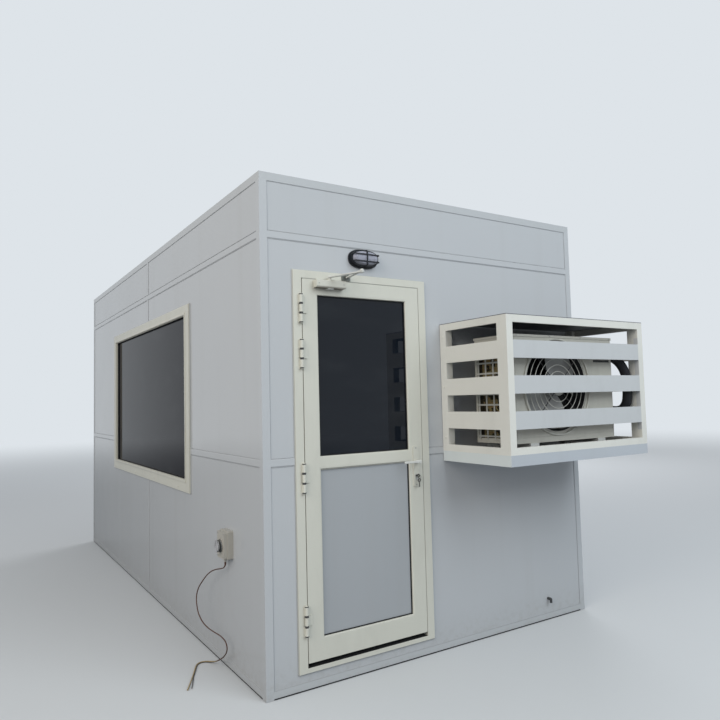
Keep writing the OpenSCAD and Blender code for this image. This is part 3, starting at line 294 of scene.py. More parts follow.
class Graph(Tree):
    """The node tree of one material, with its Principled shader."""

    def __init__(self, name: str) -> None:
        """Makes the material.

        Args:
            name: The material's name.
        """
        self.material = bpy.data.materials.new(name)
        self.material.use_nodes = True
        super().__init__(self.material.node_tree)
        self.shader = self.found("BSDF_PRINCIPLED")
        self.place = self.add("ShaderNodeTexCoord", {}, {}, "Object")

    def set(self, **inputs: object) -> None:
        """Sets the Principled shader's inputs, written with low lines for spaces."""
        for key, value in inputs.items():
            self.feed(self.shader.inputs[key.replace("_", " ")], value)

    def paint(self, colour: Colour | Term) -> None:
        """Sets the shader's base colour."""
        self.set(Base_Color=colour if isinstance(colour, Term) else (*colour, 1.0))

    def cover(self, share: Term, colour: Colour | Term) -> None:
        """Lays a share of another colour over the mixed colour that the shader has."""
        painted = self.shader.inputs["Base Color"].links[0].from_socket
        self.paint(self.mix(share, Term(self, painted), colour))

    def noise(self, grain: Grain) -> Term:
        """Smooth noise, from 0 to 1 if the grain has no other amount.

        Args:
            grain: Its size, how it is cut or stretched and how much it counts.

        Returns:
            The noise.
        """
        where = self.place
        if grain.run:
            where = self.add("ShaderNodeMapping", {}, {"Vector": where, "Scale": grain.run})
        sockets = {
            "Vector": where,
            "Scale": grain.scale,
            "Detail": grain.octaves,
            "Roughness": grain.rough,
        }
        waves = self.add("ShaderNodeTexNoise", {}, sockets)
        if grain.levels:
            waves = waves.ramp(*grain.levels)
        if grain.amount != 1.0:
            waves = waves * grain.amount
        return waves + grain.least if grain.least else waves

    def axis(self, index: int) -> Term:
        """One coordinate of the place: 0 for x, 1 for y, 2 for z."""
        return self.add("ShaderNodeSeparateXYZ", {}, {0: self.place}, index)

    def facing_up(self) -> Term:
        """1 where the surface looks straight up, falling to 0 on a steep one."""
        normal = self.add("ShaderNodeNewGeometry", {}, {}, "Normal")
        return self.add("ShaderNodeSeparateXYZ", {}, {0: normal}, 2).ramp(*LEVEL)

    def mix(self, share: Term, first: Colour | Term, second: Colour | Term) -> Term:
        """Blends two colours.

        Args:
            share: How much of the second shows.
            first: The first colour.
            second: The second colour.

        Returns:
            The blended colour.
        """
        sockets = {0: share}
        for place, colour in ((6, first), (7, second)):
            sockets[place] = colour if isinstance(colour, Term) else (*colour, 1.0)
        settings = {"data_type": "RGBA", "clamp_factor": True}
        return self.add("ShaderNodeMix", settings, sockets, 2)

    def bump(self, height: Term, relief: Span, under: Term | None = None) -> Term:
        """Turns a height from 0 to 1 into a normal.

        Args:
            height: The height.
            relief: The depth in metres of a full step, and the share of it that shows.
            under: A normal to build on.

        Returns:
            The normal.
        """
        sockets = {"Height": height, "Distance": relief[0], "Strength": relief[1]}
        if under is not None:
            sockets["Normal"] = under
        return self.add("ShaderNodeBump", {}, sockets)

    def relief(self, grain: Grain, under: Term | None = None) -> Term:
        """The normal that a grain gives, over another normal if there is one."""
        return self.bump(self.noise(grain), grain.relief, under)


@dataclass(frozen=True)
class Finish:
    """A surface: its colour, its gloss and the way it has aged."""

    name: str
    colour: Colour
    roughness: float = 0.4

    def build(self) -> bpy.types.Material:
        """Makes the material.

        Returns:
            The finished material.
        """
        graph = Graph(self.name)
        graph.paint(self.colour)
        graph.set(Roughness=self.roughness)
        self.detail(graph)
        return graph.material

    def detail(self, graph: Graph) -> None:
        """Adds the finish's own texture to the graph."""

    def shade(self, share: float) -> Colour:
        """The colour, made darker or lighter by a share."""
        return tuple(c * share for c in self.colour)


@dataclass(frozen=True)
class CoatedSheet(Finish):
    """Glossy prepainted sheet: faintly wavy, with dust in runs, on top and low down."""

    gloss: float = 1.38
    dust: Colour = (0.33, 0.31, 0.28)
    top_dust: float = 0.45
    foot_dust: float = 0.35
    dull: float = 0.45
    tones: Span = (0.97, 1.03)
    splash_top: float = 0.32
    wave: float = 0.016
    wave_share: float = 0.35
    tone: Grain = Grain(0.7, 3.0)
    runs: Grain = Grain(1.0, 4.0, levels=(0.5, 0.8), run=(7.0, 7.0, 0.35), amount=0.08)
    speckle: Grain = Grain(26.0, 5.0, 0.65, (0.42, 0.72), amount=0.75, least=0.25)
    film: Grain = Grain(3.0, 5.0, 0.6, amount=0.6, least=0.4)
    sheen: Grain = Grain(5.0, 3.0, amount=0.04)
    canning: Grain = Grain(1.6, 1.0)
    peel: Grain = Grain(420.0, 1.0, relief=(0.00008, 0.25))

    def detail(self, graph: Graph) -> None:
        """Adds the waves, the dust on top, its runs and a splashed foot.

        Args:
            graph: The material's graph.
        """
        low = 1.0 - graph.axis(2).ramp(0.0, self.splash_top)
        splashes = low * low * graph.noise(self.speckle) * self.foot_dust
        settled = graph.facing_up() * self.top_dust * graph.noise(self.film)
        soil = splashes + graph.noise(self.runs) + settled
        clean = graph.mix(graph.noise(self.tone), *map(self.shade, self.tones))
        graph.paint(graph.mix(soil, clean, self.dust))
        gloss = self.roughness + graph.noise(self.sheen) + self.dull * soil
        waves = graph.bump(graph.noise(self.canning), (self.wave, self.wave_share))
        graph.set(IOR=self.gloss, Roughness=gloss, Normal=graph.relief(self.peel, waves))


@dataclass(frozen=True)
class EdgeSheet(CoatedSheet):
    """The roof edge's and foot band's sheet, with a painted contact shadow along its foot."""

    painted_contact_shadow: Colour = (0.035, 0.035, 0.037)
    painted_contact_shadow_top: float = 0.007

    def detail(self, graph: Graph) -> None:
        """Adds the sheet's own marks and then the painted contact shadow."""
        super().detail(graph)
        # painted shade: a thin dark band at the very foot stands in for the contact shadow on the
        # ground
        graph.cover(1.0 - graph.axis(2).over(self.painted_contact_shadow_top), self.painted_contact_shadow)


@dataclass(frozen=True)
class TraySheet(CoatedSheet):
    """The shelf's sheet: painted light on its left end, painted shade on its tray, paler marks."""

    end: Colour = (0.68, 0.725, 0.725)
    painted_light_end_x: float = -0.0175
    tray: Colour = (0.045, 0.043, 0.042)
    marked: float = 1.7
    marks: Grain = Grain(14.0, 4.0, 0.6, (0.4, 0.7))

    def detail(self, graph: Graph) -> None:
        """Adds the sheet's own marks, painted light on its end and painted shade on the tray.

        Args:
            graph: The material's graph.
        """
        super().detail(graph)
        # painted light: the shelf's left end is paler, as where light falls from the left
        graph.cover(1.0 - graph.axis(0).over(self.painted_light_end_x), self.end)
        # painted shade: the tray's top is painted near black as the shade under the unit, with
        # paler marks
        paler = tuple(c * self.marked for c in self.tray)
        graph.cover(graph.facing_up(), graph.mix(graph.noise(self.marks), self.tray, paler))


@dataclass(frozen=True)
class PowderCoat(Finish):
    """Satin powder coat on steel or aluminium, with a fine grain and faint grime."""

    grime: float = 0.16
    top_grime: float = 0.12
    dull: float = 0.2
    soil: Colour = (0.20, 0.185, 0.16)
    patch: Grain = Grain(2.2, 5.0, 0.6, (0.45, 0.85), (3.0, 3.0, 1.0))
    specks: Grain = Grain(90.0, 3.0, 0.6, (0.6, 0.75), amount=0.4)
    sheen: Grain = Grain(9.0, 3.0, amount=0.12)
    peel: Grain = Grain(700.0, relief=(0.00015, 0.35))

    def coat(self, graph: Graph) -> Colour | Term:
        """The clean colour, which may differ from place to place."""
        return self.colour

    def detail(self, graph: Graph) -> None:
        """Adds the grain and the grime.

        Args:
            graph: The material's graph.
        """
        spots = graph.noise(self.patch) + graph.noise(self.specks)
        dirt = spots * self.grime + graph.facing_up() * self.top_grime
        graph.paint(graph.mix(dirt, self.coat(graph), self.soil))
        gloss = self.roughness + graph.noise(self.sheen) + self.dull * dirt
        graph.set(Roughness=gloss, Normal=graph.relief(self.peel))


@dataclass(frozen=True)
class SlatCoat(PowderCoat):
    """The cage's coat, with a cool painted sky reflection on the slats across the front."""

    painted_sky_reflection: Colour = (0.56, 0.572, 0.582)
    between: Span = (0.030, 1.160)
    front_y: float = -2.93
    slats: Span = (1.29, 1.88)

    def coat(self, graph: Graph) -> Colour | Term:
        """The painted sky reflection between the front posts and rails, the warm coat elsewhere."""
        # painted reflection: the front slats are given a cooler colour for the sky that they
        # reflect
        front = graph.axis(0).within(self.between) * (1.0 - graph.axis(1).over(self.front_y))
        return graph.mix(front * graph.axis(2).within(self.slats), self.colour, self.painted_sky_reflection)


@dataclass(frozen=True)
class ShellCoat(PowderCoat):
    """The unit's warm grey coat, with bare galvanised feet below it."""

    feet: Colour = (0.60, 0.60, 0.58)
    feet_top: float = 1.249

    def coat(self, graph: Graph) -> Colour | Term:
        """Paler on the feet."""
        return graph.mix(graph.axis(2).over(self.feet_top), self.feet, self.colour)


@dataclass(frozen=True)
class GuardCoat(PowderCoat):
    """The fan guard's pale rings, and painted shade on the spokes behind them."""

    painted_shade_spokes: Colour = (0.03, 0.03, 0.032)
    rings_back: float = -2.8881
    middle: Span = (0.469, 1.574)
    rim: float = 0.27

    def coat(self, graph: Graph) -> Colour | Term:
        """Painted shade behind the rings and inside the rim.

        Args:
            graph: The material's graph.

        Returns:
            The colour of the rings, and the painted shade on the spokes.
        """
        x = graph.axis(0) - self.middle[0]
        z = graph.axis(2) - self.middle[1]
        inside = 1.0 - ((x * x + z * z) ** 0.5).over(self.rim)
        # painted shade: what lies behind the rings inside the rim is painted near black, as the
        # shade in the well
        return graph.mix(inside * graph.axis(1).over(self.rings_back), self.colour, self.painted_shade_spokes)


@dataclass(frozen=True)
class Moulding(Finish):
    """Moulded plastic or rubber with a fine even grain."""

    dusty: float = 0.35
    wear: float = 0.15
    dust: Colour = (0.34, 0.33, 0.31)
    film: Grain = Grain(60.0, 4.0)
    scuffs: Grain = Grain(18.0, 4.0, 0.6, (0.5, 0.8))
    sheen: Grain = Grain(40.0, amount=0.1)
    pores: Grain = Grain(900.0, relief=(0.00012, 0.5))

    def detail(self, graph: Graph) -> None:
        """Adds the grain and a little dust on top.

        Args:
            graph: The material's graph.
        """
        settled = graph.facing_up() * graph.noise(self.film) * self.dusty
        worn = graph.noise(self.scuffs) * self.wear
        graph.paint(graph.mix(settled + worn, self.colour, self.dust))
        gloss = self.roughness + graph.noise(self.sheen)
        graph.set(Roughness=gloss, Normal=graph.relief(self.pores))


@dataclass(frozen=True)
class PaneSeal(Moulding):
    """Black rubber round a fixed pane, under a cream lip on both faces of the frame."""

    lip: Colour = (0.60, 0.585, 0.52)
    black: Span = (-1.221, -1.193)

    def detail(self, graph: Graph) -> None:
        """Adds the rubber's grain and then the lips."""
        super().detail(graph)
        graph.cover(1.0 - graph.axis(0).within(self.black), self.lip)


@dataclass(frozen=True)
class LeafSeal(Moulding):
    """Black rubber round the leaf's panes, with a cream lip over the panel's top and hinge side."""

    lip: Colour = (0.56, 0.545, 0.485)
    panel_top: Span = (1.1455, 1.16)
    hinge_side: float = -0.8835

    def detail(self, graph: Graph) -> None:
        """Adds the rubber's grain and then the lips.

        Args:
            graph: The material's graph.
        """
        super().detail(graph)
        z = graph.axis(2)
        lips = z.over(self.panel_top[0]).most(1.0 - graph.axis(0).over(self.hinge_side))
        graph.cover((1.0 - z.over(self.panel_top[1])) * lips, self.lip)


@dataclass(frozen=True)
class TintedGlass(Finish):
    """Dark tinted glass with faint smears."""

    clear: float = 0.35
    bend: float = 1.3
    smears: float = 0.2
    haze: float = 0.3
    dust: Colour = (0.20, 0.21, 0.22)
    smear: Grain = Grain(1.4, 5.0, 0.6, (0.5, 0.9), (1.0, 2.0, 4.0))
    specks: Grain = Grain(240.0, levels=(0.68, 0.74), amount=0.1)
    wave: Grain = Grain(1.1, 1.0, relief=(0.004, 0.3))

    def detail(self, graph: Graph) -> None:
        """Adds the tint, the smears and the float glass's slight wave.

        Args:
            graph: The material's graph.
        """
        film = graph.noise(self.smear) * self.smears + graph.noise(self.specks)
        graph.paint(graph.mix(film, self.colour, self.dust))
        graph.set(Transmission_Weight=self.clear, IOR=self.bend)
        graph.set(Roughness=self.roughness + film * self.haze, Normal=graph.relief(self.wave))


@dataclass(frozen=True)
class PressedGlass(Finish):
    """Frosted lamp glass with pressed ribs."""

    clear: float = 0.3
    bend: float = 1.45
    pitch: float = 0.009
    ribbed: Span = (0.0012, 0.6)
    bulb_z: Span = (2.315, 2.355)
    soiled: float = 0.4
    between_ribs: float = 0.2
    in_bowl: float = 0.5
    dust: Grain = Grain(50.0, 4.0, 0.6, (0.45, 0.8), amount=0.4)
    frost: Grain = Grain(70.0, 3.0, amount=0.1)

    def detail(self, graph: Graph) -> None:
        """Adds the ribs and the dirt that lies low in the bowl, and lets light through.

        Args:
            graph: The material's graph.
        """
        ribs = (graph.axis(0) / self.pitch).fold()
        below = 1.0 - graph.axis(2).ramp(*self.bulb_z)
        dirt = graph.noise(self.dust) + (1.0 - ribs) * self.between_ribs + below * self.in_bowl
        graph.paint(graph.mix(dirt, self.colour, self.shade(self.soiled)))
        graph.set(Transmission_Weight=self.clear, IOR=self.bend)
        graph.set(Roughness=self.roughness + graph.noise(self.frost))
        graph.set(Normal=graph.bump(ribs, self.ribbed))


@dataclass(frozen=True)
class BareMetal(Finish):
    """Brushed or plated metal."""

    brushing: Grain = Grain(1.0, 3.0, 0.7, run=(4.0, 4.0, 240.0))
    tarnish: Grain = Grain(55.0, 4.0, levels=(0.5, 0.8))
    brushed: Span = (0.0001, 0.4)
    spots_show: float = 0.35
    spots_shade: float = 0.6
    spots_dull: float = 0.15
    lines_dull: float = 0.18

    def detail(self, graph: Graph) -> None:
        """Adds the brushing and some tarnish.

        Args:
            graph: The material's graph.
        """
        lines, spots = graph.noise(self.brushing), graph.noise(self.tarnish)
        tarnished = self.shade(self.spots_shade)
        graph.paint(graph.mix(spots * self.spots_show, self.colour, tarnished))
        gloss = self.roughness + self.lines_dull * lines + self.spots_dull * spots
        graph.set(Metallic=1.0, Roughness=gloss, Normal=graph.bump(lines, self.brushed))


@dataclass(frozen=True)
class FinStack(Finish):
    """Coil fins: bright edges, painted shade in the gaps and deeper in, and bent, dusty patches."""

    pitch: float = 0.004
    row_pitch: float = 0.025
    metallic: float = 0.55
    tube: Colour = (0.42, 0.21, 0.09)
    painted_depth_shade_from: float = 100.0
    wander: float = 2.0
    fin_edge: Span = (0.2, 0.9)
    row_edge: Span = (0.72, 0.95)
    rows_show: float = 0.7
    fin_gap_painted_shade: float = 0.12
    dust_shade: float = 0.2
    painted_depth_shade_share: float = 0.93
    painted_depth_shade_tone: float = 0.03
    bends: Grain = Grain(14.0)
    dust: Grain = Grain(9.0, 4.0, 0.6, (0.4, 0.75), amount=0.6)
    gaps: Grain = Grain(26.0, 1.0, levels=(0.52, 0.58))
    sheen: Grain = Grain(30.0, 3.0, amount=0.2)
    pressed: Span = (0.0012, 0.8)

    def detail(self, graph: Graph) -> None:
        """Adds the fins as wandering upright stripes, the tube rows behind them and painted shade.

        Args:
            graph: The material's graph.
        """
        bent = graph.noise(self.bends) * self.pitch * self.wander
        fins = ((graph.axis(0) + graph.axis(1) + bent) / self.pitch).fold()
        rows = (graph.axis(2) / self.row_pitch).fold().ramp(*self.row_edge)
        # painted shade: the gaps between the fins are darkened
        bare = graph.mix(fins.ramp(*self.fin_edge), self.shade(self.fin_gap_painted_shade), self.colour)
        piped = graph.mix(rows * self.rows_show, bare, self.tube)
        dusty = graph.mix(graph.noise(self.dust), piped, self.shade(self.dust_shade))
        # painted shade: deeper than a level along y, and in random patches, the coil is painted
        # near black
        painted_depth_shade = graph.axis(1).over(self.painted_depth_shade_from) + graph.noise(self.gaps)
        graph.paint(graph.mix(painted_depth_shade * self.painted_depth_shade_share, dusty, self.shade(self.painted_depth_shade_tone)))
        gloss = self.roughness + graph.noise(self.sheen)
        graph.set(Metallic=self.metallic, Roughness=gloss, Normal=graph.bump(fins, self.pressed))


@dataclass(frozen=True)
class Foam(Finish):
    """Black closed-cell pipe insulation under overlapping turns of tape."""

    turn: float = 0.045
    lapped: Span = (0.0012, 0.7)
    faded: Colour = (0.05, 0.05, 0.055)
    lap: Span = (0.0, 0.12)
    patches: Grain = Grain(60.0, 4.0, amount=0.3)
    sheen: Grain = Grain(80.0, amount=0.2)
    cells: Grain = Grain(300.0, 3.0, relief=(0.0005, 0.6))

    def detail(self, graph: Graph) -> None:
        """Adds the cells and the edges of the tape.

        Args:
            graph: The material's graph.
        """
        turns = (graph.axis(2) + graph.axis(1)) / self.turn
        edge = graph.add("ShaderNodeMath", {"operation": "FRACT"}, {0: turns}).ramp(*self.lap)
        graph.paint(graph.mix(graph.noise(self.patches), self.colour, self.faded))
        graph.set(Roughness=self.roughness + graph.noise(self.sheen))
        graph.set(Normal=graph.bump(edge, self.lapped, graph.relief(self.cells)))


@dataclass(frozen=True)
class Screed(Finish):
    """Sheet flooring with a fine fleck and scuffs."""

    fleck: Colour = (0.20, 0.21, 0.22)
    flecks: Grain = Grain(260.0, levels=(0.62, 0.7), amount=0.7)
    scuffs: Grain = Grain(3.0, 6.0, 0.7, (0.5, 0.8))
    scuffed: Span = (0.0005, 0.3)
    scuffs_show: float = 0.3
    scuffs_shade: float = 0.6
    scuffs_dull: float = 0.2

    def detail(self, graph: Graph) -> None:
        """Adds the flecks and the scuffs.

        Args:
            graph: The material's graph.
        """
        scuffs = graph.noise(self.scuffs)
        worn = graph.mix(scuffs * self.scuffs_show, self.colour, self.shade(self.scuffs_shade))
        graph.paint(graph.mix(graph.noise(self.flecks), worn, self.fleck))
        gloss = self.roughness + self.scuffs_dull * scuffs
        graph.set(Roughness=gloss, Normal=graph.bump(scuffs, self.scuffed))


@dataclass(frozen=True)
class Sheath(Finish):
    """Soft plastic round a cable: brown where it hangs, pale with dust where it lies."""

    lying: Colour = (0.36, 0.27, 0.13)
    lies_below: Span = (0.008, 0.05)
    dust: Colour = (0.30, 0.26, 0.20)
    scuffs_show: float = 0.3
    scuffs_dull: float = 0.25
    scuffs: Grain = Grain(120.0, 4.0, 0.65, (0.45, 0.75))
    pores: Grain = Grain(240.0, 3.0, relief=(0.0003, 0.4))

    def detail(self, graph: Graph) -> None:
        """Adds the dusty stretch and the scuffs.

        Args:
            graph: The material's graph.
        """
        scuffs = graph.noise(self.scuffs)
        coat = graph.mix(graph.axis(2).ramp(*self.lies_below), self.lying, self.colour)
        graph.paint(graph.mix(scuffs * self.scuffs_show, coat, self.dust))
        gloss = self.roughness + self.scuffs_dull * scuffs
        graph.set(Roughness=gloss, Normal=graph.relief(self.pores))


class Palette:
    """Every finish of the booth, built once."""

    FINISHES = (
        CoatedSheet("cladding", (0.506, 0.52, 0.54), 0.07),
        CoatedSheet("trim", (0.51, 0.525, 0.545), 0.10, wave=0.004),
        EdgeSheet("edge_trim", (0.50, 0.515, 0.53), 0.10, wave=0.004, splash_top=0.06),
        CoatedSheet("leaf_sheet", (0.39, 0.405, 0.425), 0.09, wave=0.006),
        TraySheet("tray", (0.49, 0.52, 0.56), 0.12, wave=0.004),
        PowderCoat("base_steel", (0.05, 0.052, 0.056), 0.55),
        Screed("floor_board", (0.30, 0.31, 0.31), 0.45),
        PowderCoat("cream_frame", (0.635, 0.625, 0.555), 0.34, grime=0.12),
        TintedGlass("window_glass", (0.017, 0.0155, 0.021), 0.02, bend=1.14),
        TintedGlass("door_glass", (0.008, 0.012, 0.020), 0.02, bend=1.36, smears=0.12),
        Moulding("gasket", (0.008, 0.008, 0.009), 0.6, dusty=0.02, wear=0.03),
        PaneSeal("pane_seal", (0.008, 0.008, 0.009), 0.6, dusty=0.05, wear=0.03),
        LeafSeal("leaf_seal", (0.008, 0.008, 0.009), 0.6, dusty=0.05, wear=0.03),
        Moulding("collar", (0.045, 0.045, 0.05), 0.5),
        PowderCoat("lever_white", (0.66, 0.66, 0.63), 0.28, grime=0.05),
        BareMetal("lock_steel", (0.62, 0.62, 0.61), 0.22),
        BareMetal("brass", (0.10, 0.083, 0.05), 0.36),
        BareMetal("key_steel", (0.22, 0.215, 0.195), 0.36),
        # painted shade: a brown tone for the shade on the closer's underside
        PowderCoat("closer_painted_shade", (0.24, 0.215, 0.18), 0.5),
        Moulding("shoe_grey", (0.15, 0.16, 0.148), 0.4),
        Moulding("brush_grey", (0.48, 0.475, 0.43), 0.7),
        Moulding("lamp_black", (0.009, 0.011, 0.015), 0.42, dusty=0.1, wear=0.04),
        PressedGlass("lamp_lens", (0.55, 0.56, 0.66), 0.3),
        SlatCoat("cage", (0.74, 0.73, 0.68), 0.36, grime=0.1),
        # painted shade: the cage's top sheet is painted dark for the shade on its underside
        PowderCoat("cage_top_painted_shade", (0.125, 0.13, 0.145), 0.5),
        ShellCoat("unit_shell", (0.53, 0.515, 0.46), 0.42, grime=0.3),
        PowderCoat("unit_wire", (0.50, 0.495, 0.46), 0.4, grime=0.3),
        GuardCoat("fan_guard", (0.60, 0.59, 0.54), 0.4, grime=0.3),
        Moulding("fan_grey", (0.33, 0.328, 0.32), 0.45),
        Moulding("unit_dark", (0.020, 0.020, 0.023), 0.45, wear=0.06),
        # painted shade: the coil is painted near black deeper than this level along y
        FinStack("coil", (0.62, 0.50, 0.24), 0.4, painted_depth_shade_from=-2.621),
        # painted shade: the coil behind the fan is painted near black as the shade it lies in
        FinStack("rear_coil_painted_shade", (0.10, 0.10, 0.10), 0.5, tube=(0.05, 0.045, 0.04)),
        Foam("insulation", (0.006, 0.006, 0.009), 0.6),
        Moulding("switch_plastic", (0.45, 0.43, 0.385), 0.38),
        Moulding("knob_grey", (0.50, 0.50, 0.52), 0.35),
        Moulding("switch_dark", (0.03, 0.032, 0.03), 0.4),
        Sheath("cord", (0.085, 0.035, 0.022), 0.35),
        Sheath("core", (0.03, 0.022, 0.02), 0.4, lying=(0.045, 0.035, 0.03)),
        BareMetal("copper", (0.60, 0.27, 0.13), 0.3),
        Moulding("sealant", (0.46, 0.47, 0.46), 0.35),
        # sealant lines, painted darker than real sealant as the shade lines at trim edges
        Moulding("sealant_and_shade_line", (0.385, 0.395, 0.41), 0.4),
        BareMetal("screw", (0.45, 0.45, 0.44), 0.3),
    )

    def __init__(self) -> None:
        """Builds the materials."""
        self.made = {finish.name: finish.build() for finish in self.FINISHES}

    def lay(self, obj: Piece, name: str) -> None:
        """Gives an object one finish all over."""
        obj.data.materials.clear()
        obj.data.materials.append(self.made[name])


def clear() -> None:
    """Leaves edit mode and deselects everything."""
    if bpy.context.object and bpy.context.object.mode != "OBJECT":
        bpy.ops.object.mode_set(mode="OBJECT")
    bpy.ops.object.select_all(action="DESELECT")


def hold(obj: Piece) -> None:
    """Makes one object the only one selected, and the active one.

    Args:
        obj: The object.
    """
    clear()
    obj.select_set(True)
    bpy.context.view_layer.objects.active = obj


@contextmanager
def editing(obj: Piece, kind: str) -> Iterator[bmesh.types.BMesh]:
    """Edit mode on one object, with nothing selected at first.

    Args:
        obj: The object.
        kind: What will be selected, FACE or EDGE.

    Yields:
        Its mesh, for selecting by place.
    """
    hold(obj)
    bpy.ops.object.mode_set(mode="EDIT")
    bpy.ops.mesh.select_all(action="DESELECT")
    bpy.ops.mesh.select_mode(type=kind)
    yield bmesh.from_edit_mesh(obj.data)
    bpy.ops.object.mode_set(mode="OBJECT")


@contextmanager
def faces(obj: Piece, *ways: Side) -> Iterator[None]:
    """Edit mode on one object, with the faces that look some way selected.

    Args:
        obj: The object.
        ways: The ways that they look.

    Yields:
        Nothing: the operators act on what is selected.
    """
    with editing(obj, "FACE") as mesh:
        for face in mesh.faces:
            face.select_set(any(face.normal.dot(way.out) > FACING for way in ways))
        bmesh.update_edit_mesh(obj.data)
        yield


def modified(obj: Piece, kind: str, **settings: object) -> None:
    """Gives an object a modifier and applies it.

    Args:
        obj: The object.
        kind: The modifier's type.
        settings: Its settings.
    """
    hold(obj)
    modifier = obj.modifiers.new(kind, kind)
    for key, value in settings.items():
        setattr(modifier, key, value)
    bpy.ops.object.modifier_apply(modifier=modifier.name)


def bevel(obj: Piece, width: float, segments: int = 2, angle: float = 40.0) -> None:
    """Rounds the edges that are sharper than an angle.

    Args:
        obj: The object.
        width: How far the rounding reaches.
        segments: How finely it is rounded.
        angle: The angle.
    """
    limit = math.radians(angle)
    settings = {"segments": segments, "limit_method": "ANGLE", "angle_limit": limit}
    modified(obj, "BEVEL", width=width / MM, **settings)


def named(name: str) -> Piece:
    """Names the object just added and settles its place and size into its mesh.

    Args:
        name: Its name.

    Returns:
        The object.
    """
    obj = bpy.context.object
    obj.name = name
    bpy.ops.object.transform_apply(location=True, rotation=True, scale=True)
    return obj


def box(name: str, low: Place, high: Place, rounding: float = 0.0) -> Piece:
    """A block between two corners.

    Args:
        name: The block's name.
        low: Its lowest corner.
        high: Its highest corner.
        rounding: How far its edges are rounded.

    Returns:
        The block.
    """
    clear()
    foot, top = placed(low), placed(high)
    middle = (foot + top) / 2
    bpy.ops.mesh.primitive_cube_add(size=1.0, location=middle, scale=top - foot)
    obj = named(name)
    if rounding > 0.0:
        bevel(obj, rounding)
    return obj


def rod(
    name: str,
    foot: Place,
    way: Side,
    length: float,
    radius: float,
    sides: int = 24,
    fill: str = "NGON",
) -> Piece:
    """A round bar from a foot, along a direction.

    Args:
        name: The bar's name.
        foot: The middle of its first end.
        way: Its direction.
        length: Its length.
        radius: Its radius.
        sides: Its number of flats.
        fill: How its ends are closed, NGON or NOTHING.

    Returns:
        The bar.
    """
    clear()
    bpy.ops.mesh.primitive_cylinder_add(
        vertices=sides,
        radius=radius / MM,
        depth=length / MM,
        end_fill_type=fill,
        location=placed(foot) + way.out * (length / MM / 2),
        rotation=way.turn.to_euler(),
    )
    return named(name)


def tube(name: str, foot: Place, way: Side, length: float, radii: Span, sides: int = 32) -> Piece:
    """A round sleeve or washer: an open bar that is given a wall.

    Args:
        name: The sleeve's name.
        foot: The middle of its first end.
        way: Its direction.
        length: Its length.
        radii: The radius of its hole and its outer radius.
        sides: Its number of flats.

    Returns:
        The sleeve.
    """
    wall = radii[1] - radii[0]
    obj = rod(name, foot, way, length, radii[0], sides, "NOTHING")
    modified(obj, "SOLIDIFY", thickness=wall / MM, offset=1.0)
    bevel(obj, min(wall, length) * WALL_ROUND, segments=1, angle=60.0)
    return obj


def hollow(obj: Piece, edge: float, ways: Sequence[Side]) -> None:
    """Makes a block a rectangular frame: two of its faces are inset and bridged.

    Args:
        obj: The block.
        edge: The width of the frame's members.
        ways: The two ways that its opening looks.
    """
    with faces(obj, *ways):
        bpy.ops.mesh.inset(thickness=edge / MM, depth=0.0)
        bpy.ops.mesh.bridge_edge_loops()


def round_off(obj: Piece, low: Place, high: Place, width: float) -> None:
    """Rounds the edges that lie between two corners.

    Args:
        obj: The object.
        low: The lowest corner of the space that the edges lie in.
        high: Its highest corner.
        width: How far the rounding reaches.
    """
    slack = Vector((SLACK,) * 3)
    foot, top = placed(Vector(low) - slack), placed(Vector(high) + slack)
    with editing(obj, "EDGE") as mesh:
        for edge in mesh.edges:
            spots = itertools.product(edge.verts, range(3))
            edge.select_set(all(foot[i] < spot.co[i] < top[i] for spot, i in spots))
        bmesh.update_edit_mesh(obj.data)
        bpy.ops.mesh.bevel(offset=width / MM, segments=4, affect="EDGES")


def smoothed(obj: Piece, angle: float) -> None:
    """Shades round faces smooth and keeps the sharp edges."""
    hold(obj)
    bpy.ops.object.shade_smooth_by_angle(angle=math.radians(angle))


def copies(source: Piece, moves: Sequence[Matrix]) -> list[Piece]:
    """Copies an object, each copy with its own mesh; the source goes.

    Args:
        source: The object.
        moves: How each copy's mesh is moved.

    Returns:
        The copies.
    """
    made = []
    for move in moves:
        copy = source.copy()
        copy.data = source.data.copy()
        copy.data.transform(move)
        bpy.context.scene.collection.objects.link(copy)
        made.append(copy)
    bpy.data.objects.remove(source)
    return made


def join(name: str, parts: Sequence[Piece]) -> Piece:
    """Joins objects into one.

    Args:
        name: The joined object's name.
        parts: The objects.

    Returns:
        The joined object.
    """
    clear()
    for part in parts:
        part.select_set(True)
    bpy.context.view_layer.objects.active = parts[0]
    if len(parts) > 1:
        bpy.ops.object.join()
    parts[0].name = name
    return parts[0]


def strand(
    name: str, line: Sequence[Vector], width: float, shares: Sequence[float] = (), fine: int = 5
) -> Piece:
    """A round strand along a line in metres, as a curve of one open spline.

    Args:
        name: The strand's name.
        line: The points of its middle.
        width: Its diameter.
        shares: The share of that diameter at each point, if it tapers.
        fine: How finely it is rounded.

    Returns:
        The curve.
    """
    curve = bpy.data.curves.new(name, "CURVE")
    curve.dimensions = "3D"
    curve.bevel_depth = width / MM / 2
    curve.bevel_resolution = fine
    curve.use_fill_caps = True
    spline = curve.splines.new("POLY")
    spline.points.add(len(line) - 1)
    for index, point in enumerate(line):
        spline.points[index].co = (*point, 1.0)
        spline.points[index].radius = shares[index] if shares else 1.0
    obj = bpy.data.objects.new(name, curve)
    bpy.context.scene.collection.objects.link(obj)
    return obj


def meshed(obj: Piece) -> Piece:
    """Turns a curve into a mesh.

    Args:
        obj: The curve.

    Returns:
        The mesh object.
    """
    hold(obj)
    bpy.ops.object.convert(target="MESH")
    return bpy.context.object


